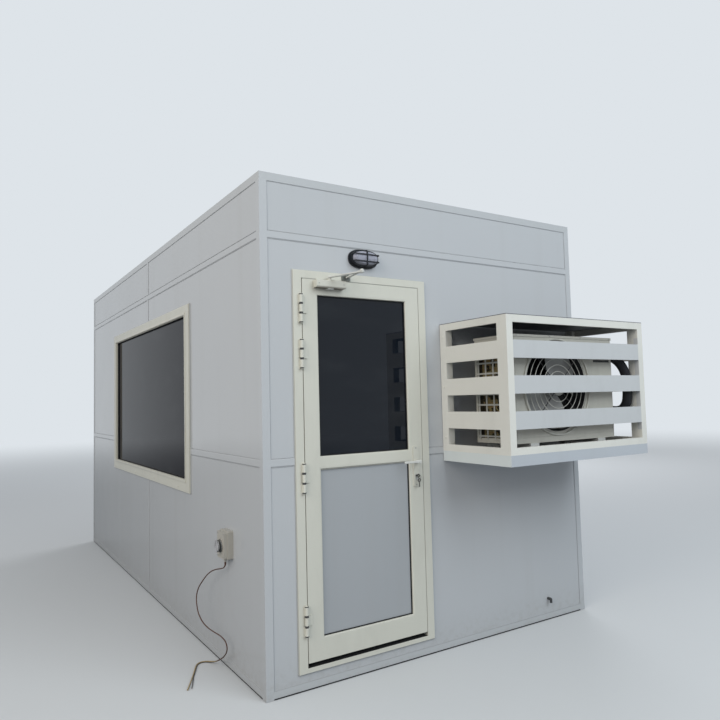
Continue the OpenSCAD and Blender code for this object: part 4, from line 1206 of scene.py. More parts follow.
@dataclass(frozen=True)
class Mark:
    """A place that is reached from a corner of a CAD node's box.

    Attributes:
        node: The node, or a node for each axis.
        corner: The box's end along x, y and z: - the low one, + the high one, = the middle, and
            0 where the step starts from the drawing's own corner.
        step: How far the place is from there.
    """

    node: str | tuple[str, str, str]
    corner: str
    step: Point

    def found(self) -> Vector:
        """Works out the place.

        Returns:
            The place on the drawing.
        """
        nodes = (self.node,) * 3 if isinstance(self.node, str) else self.node
        place = Vector(self.step)
        for axis, (node, end) in enumerate(zip(nodes, self.corner)):
            low, high = (corner[axis] for corner in drawn(node))
            place[axis] += {"-": low, "+": high, "=": (low + high) / 2}.get(end, 0.0)
        return place


def near(
    node: str | tuple[str, str, str], low: str, low_step: Point, high: str, high_step: Point
) -> tuple[Mark, Mark]:
    """Two marks by corners of the same box."""
    return Mark(node, low, low_step), Mark(node, high, high_step)


def spot(place: Mark | Place) -> Vector:
    """A place on the drawing, worked out if it is a mark."""
    return place.found() if isinstance(place, Mark) else Vector(place)


class Shape:
    """A simple shape that is told by its sizes."""

    def forms(self) -> list[Piece]:
        """Models its objects."""
        return []


@dataclass(frozen=True)
class Block(Shape):
    """A rounded block, repeated at even steps, with an opening if it has an edge.

    Attributes:
        low: Its lowest corner.
        high: Its highest corner.
        rounding: How far its edges are rounded.
        fine: How finely they are rounded.
        times: How many there are.
        step: The way from one to the next.
        edge: The width of its members, if it is a frame.
        ways: The two ways that a frame's opening looks.
    """

    low: Mark | Point
    high: Mark | Point
    rounding: float
    fine: int = 2
    times: int = 1
    step: Point = (0.0, 0.0, 0.0)
    edge: float = 0.0
    ways: tuple[Side, ...] = FACES

    def forms(self) -> list[Piece]:
        """Models the blocks.

        Returns:
            The blocks.
        """
        low, high, made = spot(self.low), spot(self.high), []
        for way in (Vector(self.step) * index for index in range(self.times)):
            obj = box("block", low + way, high + way)
            if self.edge:
                hollow(obj, self.edge, self.ways)
            bevel(obj, self.rounding, self.fine)
            made.append(obj)
        return made


@dataclass(frozen=True)
class Sleeve(Shape):
    """A round sleeve or washer, by its first end, its length and its two radii."""

    foot: Mark | Point
    way: Side
    length: float
    radii: Span
    sides: int = 32

    def forms(self) -> list[Piece]:
        """Models the sleeve."""
        foot = spot(self.foot)
        return [tube("sleeve", foot, self.way, self.length, self.radii, self.sides)]


@dataclass(frozen=True)
class Row:
    """Even places between two corners, with their number along each axis."""

    side: Side
    first: Mark | Point
    last: Mark | Point
    counts: tuple[int, int, int]

    def moves(self) -> list[Matrix]:
        """Works out how a head on the frame's origin comes to each place.

        Returns:
            The moves.
        """
        first, last = spot(self.first), spot(self.last)
        turn = self.side.turn.to_matrix().to_4x4()
        moves = []
        for steps in itertools.product(*map(range, self.counts)):
            shares = (step / max(1, count - 1) for step, count in zip(steps, self.counts))
            place = [a + (b - a) * share for a, b, share in zip(first, last, shares)]
            moves.append(Matrix.Translation(placed(place)) @ turn)
        return moves


@dataclass(frozen=True)
class Screws(Shape):
    """Screws of one size: one head is modelled, then copied to every place of its rows.

    Attributes:
        radius: The head's radius.
        height: The head's height.
        rows: The rows of places.
        flats: The head's number of flats.
        crown: How far its crown is inset, as a share of its radius.
        dome: How far the crown rises, as a share of its height.
        rim: The width round the driver's recess, as a share of its radius.
        recess: How deep the recess is, as a share of its height.
    """

    radius: float
    height: float
    rows: tuple[Row, ...]
    flats: int = 16
    crown: float = 0.3
    dome: float = 0.25
    rim: float = 0.25
    recess: float = 0.6

    def forms(self) -> list[Piece]:
        """Models a head with a driver's recess, and copies it.

        Returns:
            The heads.
        """
        obj = rod("screw", CORNER, Side.UP, self.height, self.radius, self.flats)
        radius, height = self.radius / MM, self.height / MM
        with faces(obj, Side.UP):
            bpy.ops.mesh.inset(thickness=self.crown * radius, depth=self.dome * height)
            bpy.ops.mesh.inset(thickness=self.rim * radius, depth=0.0)
            sunk = {"value": (0.0, 0.0, -self.recess * height)}
            bpy.ops.mesh.extrude_region_move(TRANSFORM_OT_translate=sunk)
        return copies(obj, [move for row in self.rows for move in row.moves()])


@dataclass(frozen=True)
class Part:
    """A small piece that its shapes tell: its body, its finish and a slot name that is not used."""

    name: str
    body: str
    finish: str
    slot: str
    shapes: tuple[Shape, ...]

    def form(self) -> Piece:
        """Models the shapes and joins them."""
        return join(self.name, [obj for shape in self.shapes for obj in shape.forms()])


@dataclass
class Fitter:
    """Puts finished pieces on their bodies and logs them."""

    palette: Palette
    nodes: Nodes
    count: int = 0

    def fit(
        self,
        obj: Piece,
        body: str,
        finish: str,
        replaces: Sequence[str] = (),
        smooth: float = 35.0,
    ) -> Piece:
        """Finishes one piece.

        Args:
            obj: The piece, in place.
            body: The CAD body it rides on.
            finish: Its finish in the palette.
            replaces: The CAD nodes it stands for.
            smooth: The angle under which edges are shaded round.

        Returns:
            The piece.
        """
        if obj.type == "MESH":
            smoothed(obj, smooth)
        self.palette.lay(obj, finish)
        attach(obj, body)
        if replaces:
            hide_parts(*replaces)
        self.count += 1
        LOG.info("%s rides on %s, finished as %s", obj.name, body, finish)
        return obj

    def put(self, *parts: Part) -> None:
        """Models simple pieces and fits them, in order."""
        for part in parts:
            self.fit(part.form(), part.body, part.finish)

    def dress(self, wears: dict[str, tuple[str, ...]]) -> None:
        """Gives CAD nodes their finishes.

        Args:
            wears: The nodes that wear each finish.
        """
        for finish, nodes in wears.items():
            for node in nodes:
                self.palette.lay(self.nodes[node], finish)
                LOG.info("%s finished as %s", node, finish)


class Section:
    """A sub-assembly of the booth: CAD nodes to dress, and small pieces to add."""

    WEARS: dict[str, tuple[str, ...]] = {}
    fittings: tuple[Part, ...] = ()

    def build(self, fitter: Fitter) -> None:
        """Dresses the section's CAD nodes and adds its small pieces."""
        fitter.dress(self.WEARS)
        self.add(fitter)

    def add(self, fitter: Fitter) -> None:
        """Makes the small pieces and fits them."""
        fitter.put(*self.fittings)


@dataclass
class Shell(Section):
    """The cabin's panels, trims, joints, base and floor."""

    width: float = 2450.0
    length: float = 4770.0
    trim_w: float = 42.0
    seams: Span = (1202.0, 2422.0)
    upright: float = 2330.0
    edge_z: float = 2715.0
    line_w: float = 3.0
    line_t: float = 2.2
    line_round: float = 0.7
    clear: float = 6.0
    fittings: tuple[Part, ...] = (
        Part("sealant_beads", CABIN, "sealant", "gasket", (
            Block(
                Mark("hinge_jamb", "-0-", (-5, -5, -5)),
                Mark("door_head", "+0+", (5, 0, 5)),
                3.0, 3, edge=6.0,
            ),
            Block(
                *near("window_frame", "0--", (-5, -5, -5), "0++", (0, 5, 5)),
                3.0, 3, edge=6.0, ways=FLANKS,
            ),
        )),
        Part("roof_laps", CABIN, "edge_trim", "trim", (
            Block(
                (44, 1189, 2757), (2406, 1251, 2758.4),
                0.6, times=3, step=(0, 1220, 0),
            ),
        )),
        Part("roof_screws", CABIN, "screw", "lock_steel", (
            Screws(5.5, 1.1, (
                Row(Side.UP, (120, 1200, 2758.2), (2330, 3640, 2758.2), (9, 3, 1)),
                Row(Side.UP, (120, 1240, 2758.2), (2330, 3680, 2758.2), (9, 3, 1)),
            )),
        )),
        Part("inner_skirting", CABIN, "trim", "trim", (
            Block((75, 75, 92), (83, 4695, 152), 2.0),
            Block((2367, 75, 92), (2375, 4695, 152), 2.0),
            Block((83, 4687, 92), (2367, 4695, 152), 2.0),
            Block((83, 75, 92), Mark("hinge_jamb", "-00", (0, 83, 152)), 2.0),
            Block(Mark("latch_jamb", "+00", (0, 75, 92)), (2367, 83, 152), 2.0),
        )),
    )

    WEARS = {
        "base_steel": ("base_frame", "drain_spout"),
        "floor_board": ("floor_deck",),
        "cladding": (
            "front_wall_left", "front_wall_right", "front_wall_over_door",
            "front_wall_below_door", "left_wall_front", "left_wall_rear",
            "left_wall_below_window", "left_wall_over_window", "right_wall", "back_wall",
            "roof_panel",
        ),
        "trim": ("corner_trims", "seam_strips"),
        "edge_trim": ("edge_trims",),
    }

    def on_wall(self, side: Side, along: Span, up: Span) -> Piece:
        """A thin line of sealant, painted dark as shade, on one outer wall.

        Args:
            side: The wall.
            along: Where the line starts and ends along the wall.
            up: Its lower and upper edges.

        Returns:
            The line.
        """
        face = {Side.BACK: self.length, Side.RIGHT: self.width}.get(side, 0.0)
        depth = sorted((face, face + self.line_t * sum(side.value)))
        low, high = zip(*((along, depth, up) if side in FACES else (depth, along, up)))
        return box("line", low, high, self.line_round)

    def openings(self, side: Side) -> tuple[list[Span], list[Span]]:
        """What breaks the level lines at the lower seam and the upright line on one wall.

        Args:
            side: The wall.

        Returns:
            The breaks of the seam's lines along the wall, and those of the upright line up it.
        """
        if side is Side.FRONT:
            low, high = drawn("hinge_jamb")[0], drawn("latch_jamb")[1]
            return [(low.x - self.clear, high.x + self.clear)], []
        if side is Side.LEFT:
            low, high = drawn("window_frame")
            spans = ((low.y, high.y), (low.z, high.z))
            along, up = ([(start - self.clear, end + self.clear)] for start, end in spans)
            return along, up
        return [], []

    def sealant_and_shade_lines(self) -> Piece:
        """Thin sealant lines at the edges of all trims and strips, painted dark as their shade.

        Returns:
            The lines.
        """
        w, trim = self.line_w, self.trim_w
        reach = trim / 2 + w
        lower, upper = ((seam - reach, seam + reach) for seam in self.seams)
        parts = []
        for side in (*FACES, *FLANKS):
            end = self.width if side in FACES else self.length
            along, up = self.openings(side)
            uprights = [] if side in FACES else [(self.upright - reach, self.upright + reach)]
            rows = [(z, along) for z in (lower[0], lower[1] - w)]
            rows += [(z, []) for z in (upper[0], upper[1] - w, self.edge_z - w)]
            if side in FACES:
                rows.append((trim, []))
            for z, gaps in rows:
                for part in stretches(trim + w, end - trim - w, [*uprights, *gaps]):
                    parts.append(self.on_wall(side, part, (z, z + w)))
            columns = [(trim, []), (end - trim - w, [])]
            columns += [(start, up) for low, high in uprights for start in (low, high - w)]
            for start, gaps in columns:
                for part in stretches(trim, self.edge_z, [lower, upper, *gaps]):
                    parts.append(self.on_wall(side, (start, start + w), part))
        return join("sealant_and_shade_lines", parts)

    def add(self, fitter: Fitter) -> None:
        """Adds the sealant and painted shade lines, the roof's strips and the boards inside."""
        fitter.fit(self.sealant_and_shade_lines(), CABIN, "sealant_and_shade_line")
        fitter.put(*self.fittings)


@dataclass
class Doorway(Section):
    """The door frame, the leaf and all that hangs on it."""

    SHOE = ("closer_shoe", "door_head", "door_head")

    bead_w: float = 12.0
    bead_out: float = 9.6
    bead_floor: float = 10.0
    bead_round: float = 7.0
    hinge_x: float = 226.0
    hinge_y: float = -23.5
    hinge_feet: tuple[float, ...] = (284.0, 1032.0, 1702.0, 1951.0)
    collar_h: float = 5.0
    collar_r: Span = (10.05, 10.95)
    frame_collars: tuple[float, ...] = (0.0, 47.0, 106.0, 153.0)
    leaf_collars: Span = (53.0, 100.0)
    lock_x: float = 980.0
    lever_z: float = 1150.0
    lever_t: float = 12.0
    hub_r: float = 11.0
    hub_round: float = 2.6
    spindle_r: float = 7.9
    spindle_in: float = 4.0
    grip_x: Span = (-12.0, 2.0)
    grip_half: float = 8.0
    grip_in: float = 0.8
    grip_round: float = 3.2
    taper: tuple[Point, ...] = (
        (18, 0.94, 0.90),
        (22, 0.92, 0.95),
        (24, 1, 1.03),
        (20, 1.04, 1.05),
        (12, 0.95, 0.95),
        (5, 0.7, 0.7),
    )
    rubbers: tuple[Part, ...] = (
        Part("door_seal", CABIN, "gasket", "gasket", (
            Block(*near("leaf_frame", "-0-", (-4, 33, 2), "+0+", (4, 37.5, 4)), 1.0, edge=12.0),
        )),
        Part("leaf_brushes", LEAF, "brush_grey", "gasket", (
            Block(*near("leaf_frame", "+--", (-0.5, 2, 4), "+-+", (3.8, 8, 3.8)), 0.8),
            Block(*near("leaf_frame", "--+", (6, 2, -0.5), "+-+", (0, 8, 3.8)), 0.8),
        )),
        # painted shade: black strips on the sill and behind the leaf's foot stand in for the shade
        # under the leaf
        Part("sill_rubber_painted_shade", CABIN, "gasket", "gasket", (
            Block(*near("leaf_frame", "-00", (-3, -10.5, 116), "+00", (3, 34.5, 117.6)), 0.5),
            Block(*near("leaf_frame", "-00", (-3, 32.4, 116), "+0-", (3, 35.2, 8)), 0.8),
            Block(
                *near("leaf_frame", "-00", (-2, -8, 117), "+00", (2, -5, 119)),
                0.9, times=7, step=(0, 6, 0),
            ),
        )),
    )
    lock: tuple[Part, ...] = (
        Part("lock_screws", LEAF, "screw", "lock_steel", (
            Screws(3.6, 1.4, (
                Row(
                    Side.FRONT, *near("lock_plates", "=--", (0, 0, 12), "=-+", (0, 0, -12)),
                    (1, 1, 2),
                ),
                Row(
                    Side.BACK, *near("lock_plates", "=+-", (0, 0, 12), "=++", (0, 0, -12)),
                    (1, 1, 2),
                ),
            )),
        )),
        Part("lever_roses", LEAF, "cream_frame", "lock_white", (
            Sleeve(Mark("lock_plates", "=-0", (0, 0, 1150)), Side.FRONT, 4.5, (8.5, 15.5)),
            Sleeve(Mark("lock_plates", "=+0", (0, 0, 1150)), Side.BACK, 4.5, (8.5, 15.5)),
        )),
    )
    closer: tuple[Part, ...] = (
        # painted shade: a dark plate under the closer's body stands in for the shade on its
        # underside
        Part("closer_underside", LEAF, "closer_painted_shade", "closer", (
            Block(*near("closer_body", "---", (3, 4, 2.6), "++-", (-3, 0, 4.4)), 0.6),
        )),
        Part("closer_caps", LEAF, "cream_frame", "closer", (
            Block(*near("closer_body", "---", (-1.2, 2, 5.5), "-++", (1.2, -1, -6.5)), 1.0),
            Block(*near("closer_body", "+--", (-1.2, 2, 5.5), "+++", (1.2, -1, -6.5)), 1.0),
        )),
        Part("closer_plug", LEAF, "lever_white", "closer", (
            Block(*near("closer_body", "=--", (-19, 8, -4), "=+-", (19, -8, 3)), 3.2, 4),
        )),
        Part("closer_screws", LEAF, "screw", "lock_steel", (
            Screws(3.0, 1.0, (
                Row(
                    Side.FRONT, *near("closer_body", "---", (14, 0, 25), "+--", (-14, 0, 25)),
                    (2, 1, 1),
                ),
                Row(
                    Side.RIGHT, *near("closer_body", "+--", (1.2, 18, 18), "+--", (1.2, 18, 32)),
                    (1, 1, 2),
                ),
            )),
        )),
        Part("shoe_screws", CABIN, "screw", "lock_steel", (
            Screws(2.8, 1.0, (
                Row(Side.FRONT, *near(SHOE, "--+", (8, -6, -12), "+-+", (-8, -6, -12)), (2, 1, 1)),
            )),
        )),
    )

    WEARS = {
        "cream_frame": (
            "hinge_jamb", "latch_jamb", "door_head", "threshold", "leaf_frame", "frame_hinges",
            "leaf_hinges", "lock_plates", "closer_body",
        ),
        "door_glass": ("leaf_glass",),
        "leaf_sheet": ("leaf_panel",),
        "leaf_seal": ("leaf_gaskets",),
        "lock_steel": ("lock_cylinder",),
        "brass": ("lock_plug",),
        "key_steel": ("keys",),
        "lever_white": ("closer_arm", "closer_forearm"),
        "shoe_grey": ("closer_shoe",),
    }

    def beads(self) -> Piece:
        """Rounded glazing beads in the step round both openings, on both faces of the leaf.

        Returns:
            The beads.
        """
        low, high = drawn("leaf_gaskets")
        glass, panel = drawn("leaf_glass"), drawn("leaf_panel")
        edge, w, parts = low.x - glass[0].x, self.bead_w, []
        front, rear = (corner.y for corner in drawn("leaf_frame"))
        for z0, z1 in ((glass[0].z + edge, high.z), (low.z, panel[1].z - edge)):
            for back, way in ((front + self.bead_floor, -1), (rear - self.bead_floor, 1)):
                show = back + way * self.bead_out
                foot = (low.x - w, min(back, show), z0 - w)
                part = box("bead", foot, (high.x + w, max(back, show), z1 + w))
                hollow(part, w, FACES)
                round_off(part, (low.x, show, z0), (high.x, show, z1), self.bead_round)
                parts.append(part)
        return join("glazing_beads", parts)

    def collars(self, name: str, levels: Sequence[float]) -> Piece:
        """Dark nylon collars round the hinges' knuckles.

        Args:
            name: The joined piece's name.
            levels: How far each collar's lower edge is above its hinge's foot.

        Returns:
            The collars.
        """
        feet = [foot + level for foot in self.hinge_feet for level in levels]
        x, y, h, radii = self.hinge_x, self.hinge_y, self.collar_h, self.collar_r
        parts = [tube("collar", (x, y, z), Side.UP, h, radii, 24) for z in feet]
        return join(name, parts)

    def grip(self, y0: float, y1: float) -> Piece:
        """A lever's flattened grip, drawn out of a block step by step towards its rounded end.

        Args:
            y0: Its front.
            y1: Its back.

        Returns:
            The grip.
        """
        z, half = self.lever_z, self.grip_half
        reach, root = (self.lock_x + x for x in self.grip_x)
        obj = box("grip", (reach, y0, z - half), (root, y1, z + half))
        for step, thick, tall in self.taper:
            reach -= step
            middle = placed((reach, (y0 + y1) / 2, z))
            with faces(obj, Side.LEFT):
                move = {"value": (-step / MM, 0.0, 0.0)}
                bpy.ops.mesh.extrude_region_move(TRANSFORM_OT_translate=move)
                bpy.ops.transform.resize(value=(1.0, thick, tall), center_override=middle)
        bevel(obj, self.grip_round, segments=4, angle=50.0)
        return obj

    def levers(self) -> Piece:
        """Both lever handles on the spindle that joins them.

        Returns:
            The levers.
        """
        low, high = drawn("door_levers")
        x, z, t = self.lock_x, self.lever_z, self.lever_t
        start, long = low.y + self.spindle_in, high.y - low.y - 2 * self.spindle_in
        parts = [rod("spindle", (x, start, z), Side.BACK, long, self.spindle_r)]
        for y in (low.y, high.y - t):
            hub = rod("hub", (x, y, z), Side.BACK, t, self.hub_r, 32)
            bevel(hub, self.hub_round, segments=3)
            parts += [hub, self.grip(y + self.grip_in, y + t - self.grip_in)]
        return join("lever_handles", parts)

    def add(self, fitter: Fitter) -> None:
        """Adds the doorway's small pieces.

        Args:
            fitter: What puts them in place.
        """
        fitter.fit(self.beads(), LEAF, "cream_frame")
        fitter.put(*self.rubbers)
        on_frame = self.collars("frame_collars", self.frame_collars)
        fitter.fit(on_frame, CABIN, "collar")
        fitter.fit(self.collars("leaf_collars", self.leaf_collars), LEAF, "collar")
        fitter.put(*self.lock)
        fitter.fit(self.levers(), HANDLE, "lever_white", ["door_levers"])
        fitter.put(*self.closer)


@dataclass
class PictureWindow(Section):
    """The fixed window in the long side, with beads round its pane and hooded drains."""

    PANE = ("window_frame", "window_gasket", "window_gasket")

    fittings: tuple[Part, ...] = (
        Part("window_beads", CABIN, "cream_frame", "cream_frame", (
            Block(
                *near(PANE, "---", (-4, -16, -16), "-++", (0, 16, 16)),
                1.8, edge=16.0, ways=FLANKS,
            ),
            Block(
                *near(PANE, "+--", (0, -16, -16), "+++", (4, 16, 16)),
                1.8, edge=16.0, ways=FLANKS,
            ),
        )),
        Part("window_drains", CABIN, "cream_frame", "cream_frame", (
            Block(
                *near("window_frame", "---", (-3, 243, 20), "---", (0.5, 277, 29)),
                1.4, times=4, step=(0.0, 1885.0 / 3, 0.0),
            ),
        )),
    )

    WEARS = {
        "cream_frame": ("window_frame",),
        "window_glass": ("window_glass",),
        "pane_seal": ("window_gasket",),
    }


@dataclass
class BulkheadLamp(Section):
    """The oval lamp over the door, with two screws through its guard's rim."""

    RIM = ("lamp_guard", "lamp_base", "lamp_guard")

    fittings: tuple[Part, ...] = (
        Part("lamp_screws", CABIN, "screw", "lock_steel", (
            Screws(3.2, 1.4, (
                Row(Side.FRONT, *near(RIM, "--=", (8, -6, 0), "+-=", (-8, -6, 0)), (2, 1, 1)),
            )),
        )),
    )

    WEARS = {"lamp_black": ("lamp_base", "lamp_guard"), "lamp_lens": ("lamp_glass",)}


@dataclass
class Cage(Section):
    """The slatted cage on the wall, bolted by its posts, with screws in its top sheet."""

    fittings: tuple[Part, ...] = (
        Part("cage_bolts", CABIN, "cage", "cage", (
            Screws(6.0, 3.5, (
                Row(
                    Side.LEFT, *near("cage_left_side", "-+-", (0, -28, 80), "-++", (0, -28, -80)),
                    (1, 1, 3),
                ),
                Row(
                    Side.RIGHT, *near("cage_right_side", "++-", (0, -28, 80), "+++", (0, -28, -80)),
                    (1, 1, 3),
                ),
            )),
        )),
        Part("cage_top_screws", CABIN, "screw", "lock_steel", (
            Screws(4.0, 1.5, (
                Row(
                    Side.UP, *near("cage_top", "--+", (40, 14, 0), "+++", (-40, -14, 0)),
                    (5, 2, 1),
                ),
            )),
        )),
    )

    WEARS = {
        "cage": ("cage_front", "cage_left_side", "cage_right_side"),
        # painted shade: the top sheet is dark for the shade under it
        "cage_top_painted_shade": ("cage_top",),
        "tray": ("cage_shelf",),
    }


@dataclass
class CoolingUnit(Section):
    """The outdoor cooling unit in the cage."""

    bar_low: Point = (1612, -364, 1326)
    bar_high: Point = (1632, -347, 1822)
    bar_pitch: float = 144.0
    bar_wall: float = 4.0
    bar_sunk: float = 5.0
    bar_round: float = 1.2
    badge_low: Point = (2034, -496, 1724)
    badge_high: Point = (2188, -494, 1738)
    badge_edge: float = 2.0
    badge_rise: float = 0.6
    badge_round: float = 0.7
    louvres: int = 7
    louvre_low: Point = (2222.5, -436, 1610)
    louvre_high: Point = (2228, -296, 1625)
    louvre_pitch: float = 26.0
    louvre_lip: Point = (1, 0.94, 0.3)
    louvre_round: float = 1.6
    outside: tuple[Part, ...] = (
        Part("unit_screws", CABIN, "screw", "lock_steel", (
            Screws(4.0, 1.5, (
                Row(Side.FRONT, (2201, -494, 1310), (2201, -494, 1840), (1, 1, 3)),
                Row(
                    Side.FRONT, *near("ac_casing", "-0+", (34, -498, -7), "+0+", (-34, -498, -7)),
                    (4, 1, 1),
                ),
                Row(
                    Side.RIGHT, *near("ac_casing", "+0+", (0, -454, -7), "+0+", (0, -200, -7)),
                    (1, 3, 1),
                ),
            )),
        )),
        # painted shade: a dark lining inside the fan's well stands in for the shade there
        Part("well_lining_painted_shade", CABIN, "unit_dark", "unit_dark", (
            Sleeve((1694, -490, 1574), Side.BACK, 142.0, (263.0, 265.7), 64),
        )),
        # painted shade: a near black coil disc behind the fan stands in for the shade there
        Part("rear_coil_painted_shade", CABIN, "rear_coil_painted_shade", "coil", (
            Sleeve((1694, -344.2, 1574), Side.FRONT, 3.0, (58.4, 262.8), 64),
        )),
    )
    joints: Part = Part("panel_joints", CABIN, "unit_dark", "unit_dark", (
        Block((2222.5, -400, 1560), (2223.5, -180, 1562), 0.3),
        Block((2222.5, -402, 1284), (2223.5, -400, 1562), 0.3),
    ))
    piping: tuple[Part, ...] = (
        Part("pipe_collar", CABIN, "sealant", "gasket", (
            Sleeve((2275, 0, 1765), Side.FRONT, 7.0, (30.1, 43.0), 36),
        )),
        Part("pipe_ties", CABIN, "switch_dark", "insulation", (
            Sleeve((2275, -18, 1765), Side.FRONT, 7.0, (30.1, 31.8)),
            Sleeve((2275, -44, 1765), Side.FRONT, 7.0, (30.1, 31.8)),
            Sleeve((2349, -507, 1563), Side.UP, 7.0, (30.1, 31.8)),
        )),
    )

    WEARS = {
        "unit_shell": ("ac_casing", "ac_valves"),
        "coil": ("ac_coil",),
        "unit_wire": ("ac_coil_guard",),
        "fan_grey": ("ac_fan",),
        "fan_guard": ("ac_fan_guard",),
        "insulation": ("ac_pipe",),
    }

    def bracket(self) -> Piece:
        """Two pressed bars that carry the motor across the well.

        Returns:
            The bars.
        """
        parts = []
        for aside in (0.0, self.bar_pitch):
            way = Vector((aside, 0.0, 0.0))
            bar = box("bar", Vector(self.bar_low) + way, Vector(self.bar_high) + way)
            with faces(bar, Side.FRONT):
                move = {"value": (0.0, self.bar_sunk / MM, 0.0)}
                bpy.ops.mesh.inset(thickness=self.bar_wall / MM, depth=0.0)
                bpy.ops.mesh.extrude_region_move(TRANSFORM_OT_translate=move)
            bevel(bar, self.bar_round)
            parts.append(bar)
        return join("motor_bracket", parts)

    def badge(self) -> Piece:
        """A bare dark strip on the front panel.

        Returns:
            The strip.
        """
        obj = box("bare_badge", self.badge_low, self.badge_high)
        with faces(obj, Side.FRONT):
            edge, rise = self.badge_edge / MM, self.badge_rise / MM
            bpy.ops.mesh.inset(thickness=edge, depth=-rise)
        bevel(obj, self.badge_round)
        return obj

    def side_louvres(self) -> Piece:
        """Pressed louvres high on the right side.

        Returns:
            The louvres.
        """
        parts = []
        for index in range(self.louvres):
            up = Vector((0.0, 0.0, self.louvre_pitch * index))
            low, high = Vector(self.louvre_low) + up, Vector(self.louvre_high) + up
            blade = box("louvre", low, high)
            middle = placed((high.x, (low.y + high.y) / 2, low.z))
            with faces(blade, Side.RIGHT):
                bpy.ops.transform.resize(value=self.louvre_lip, center_override=middle)
            bevel(blade, self.louvre_round, angle=20.0)
            parts.append(blade)
        return join("unit_louvres", parts)

    def add(self, fitter: Fitter) -> None:
        """Adds what shows in and on the unit.

        Args:
            fitter: What puts it in place.
        """
        fitter.put(*self.outside)
        fitter.fit(self.bracket(), CABIN, "unit_dark")
        fitter.put(self.joints)
        fitter.fit(self.badge(), CABIN, "unit_dark")
        fitter.fit(self.side_louvres(), CABIN, "unit_shell")
        fitter.put(*self.piping)


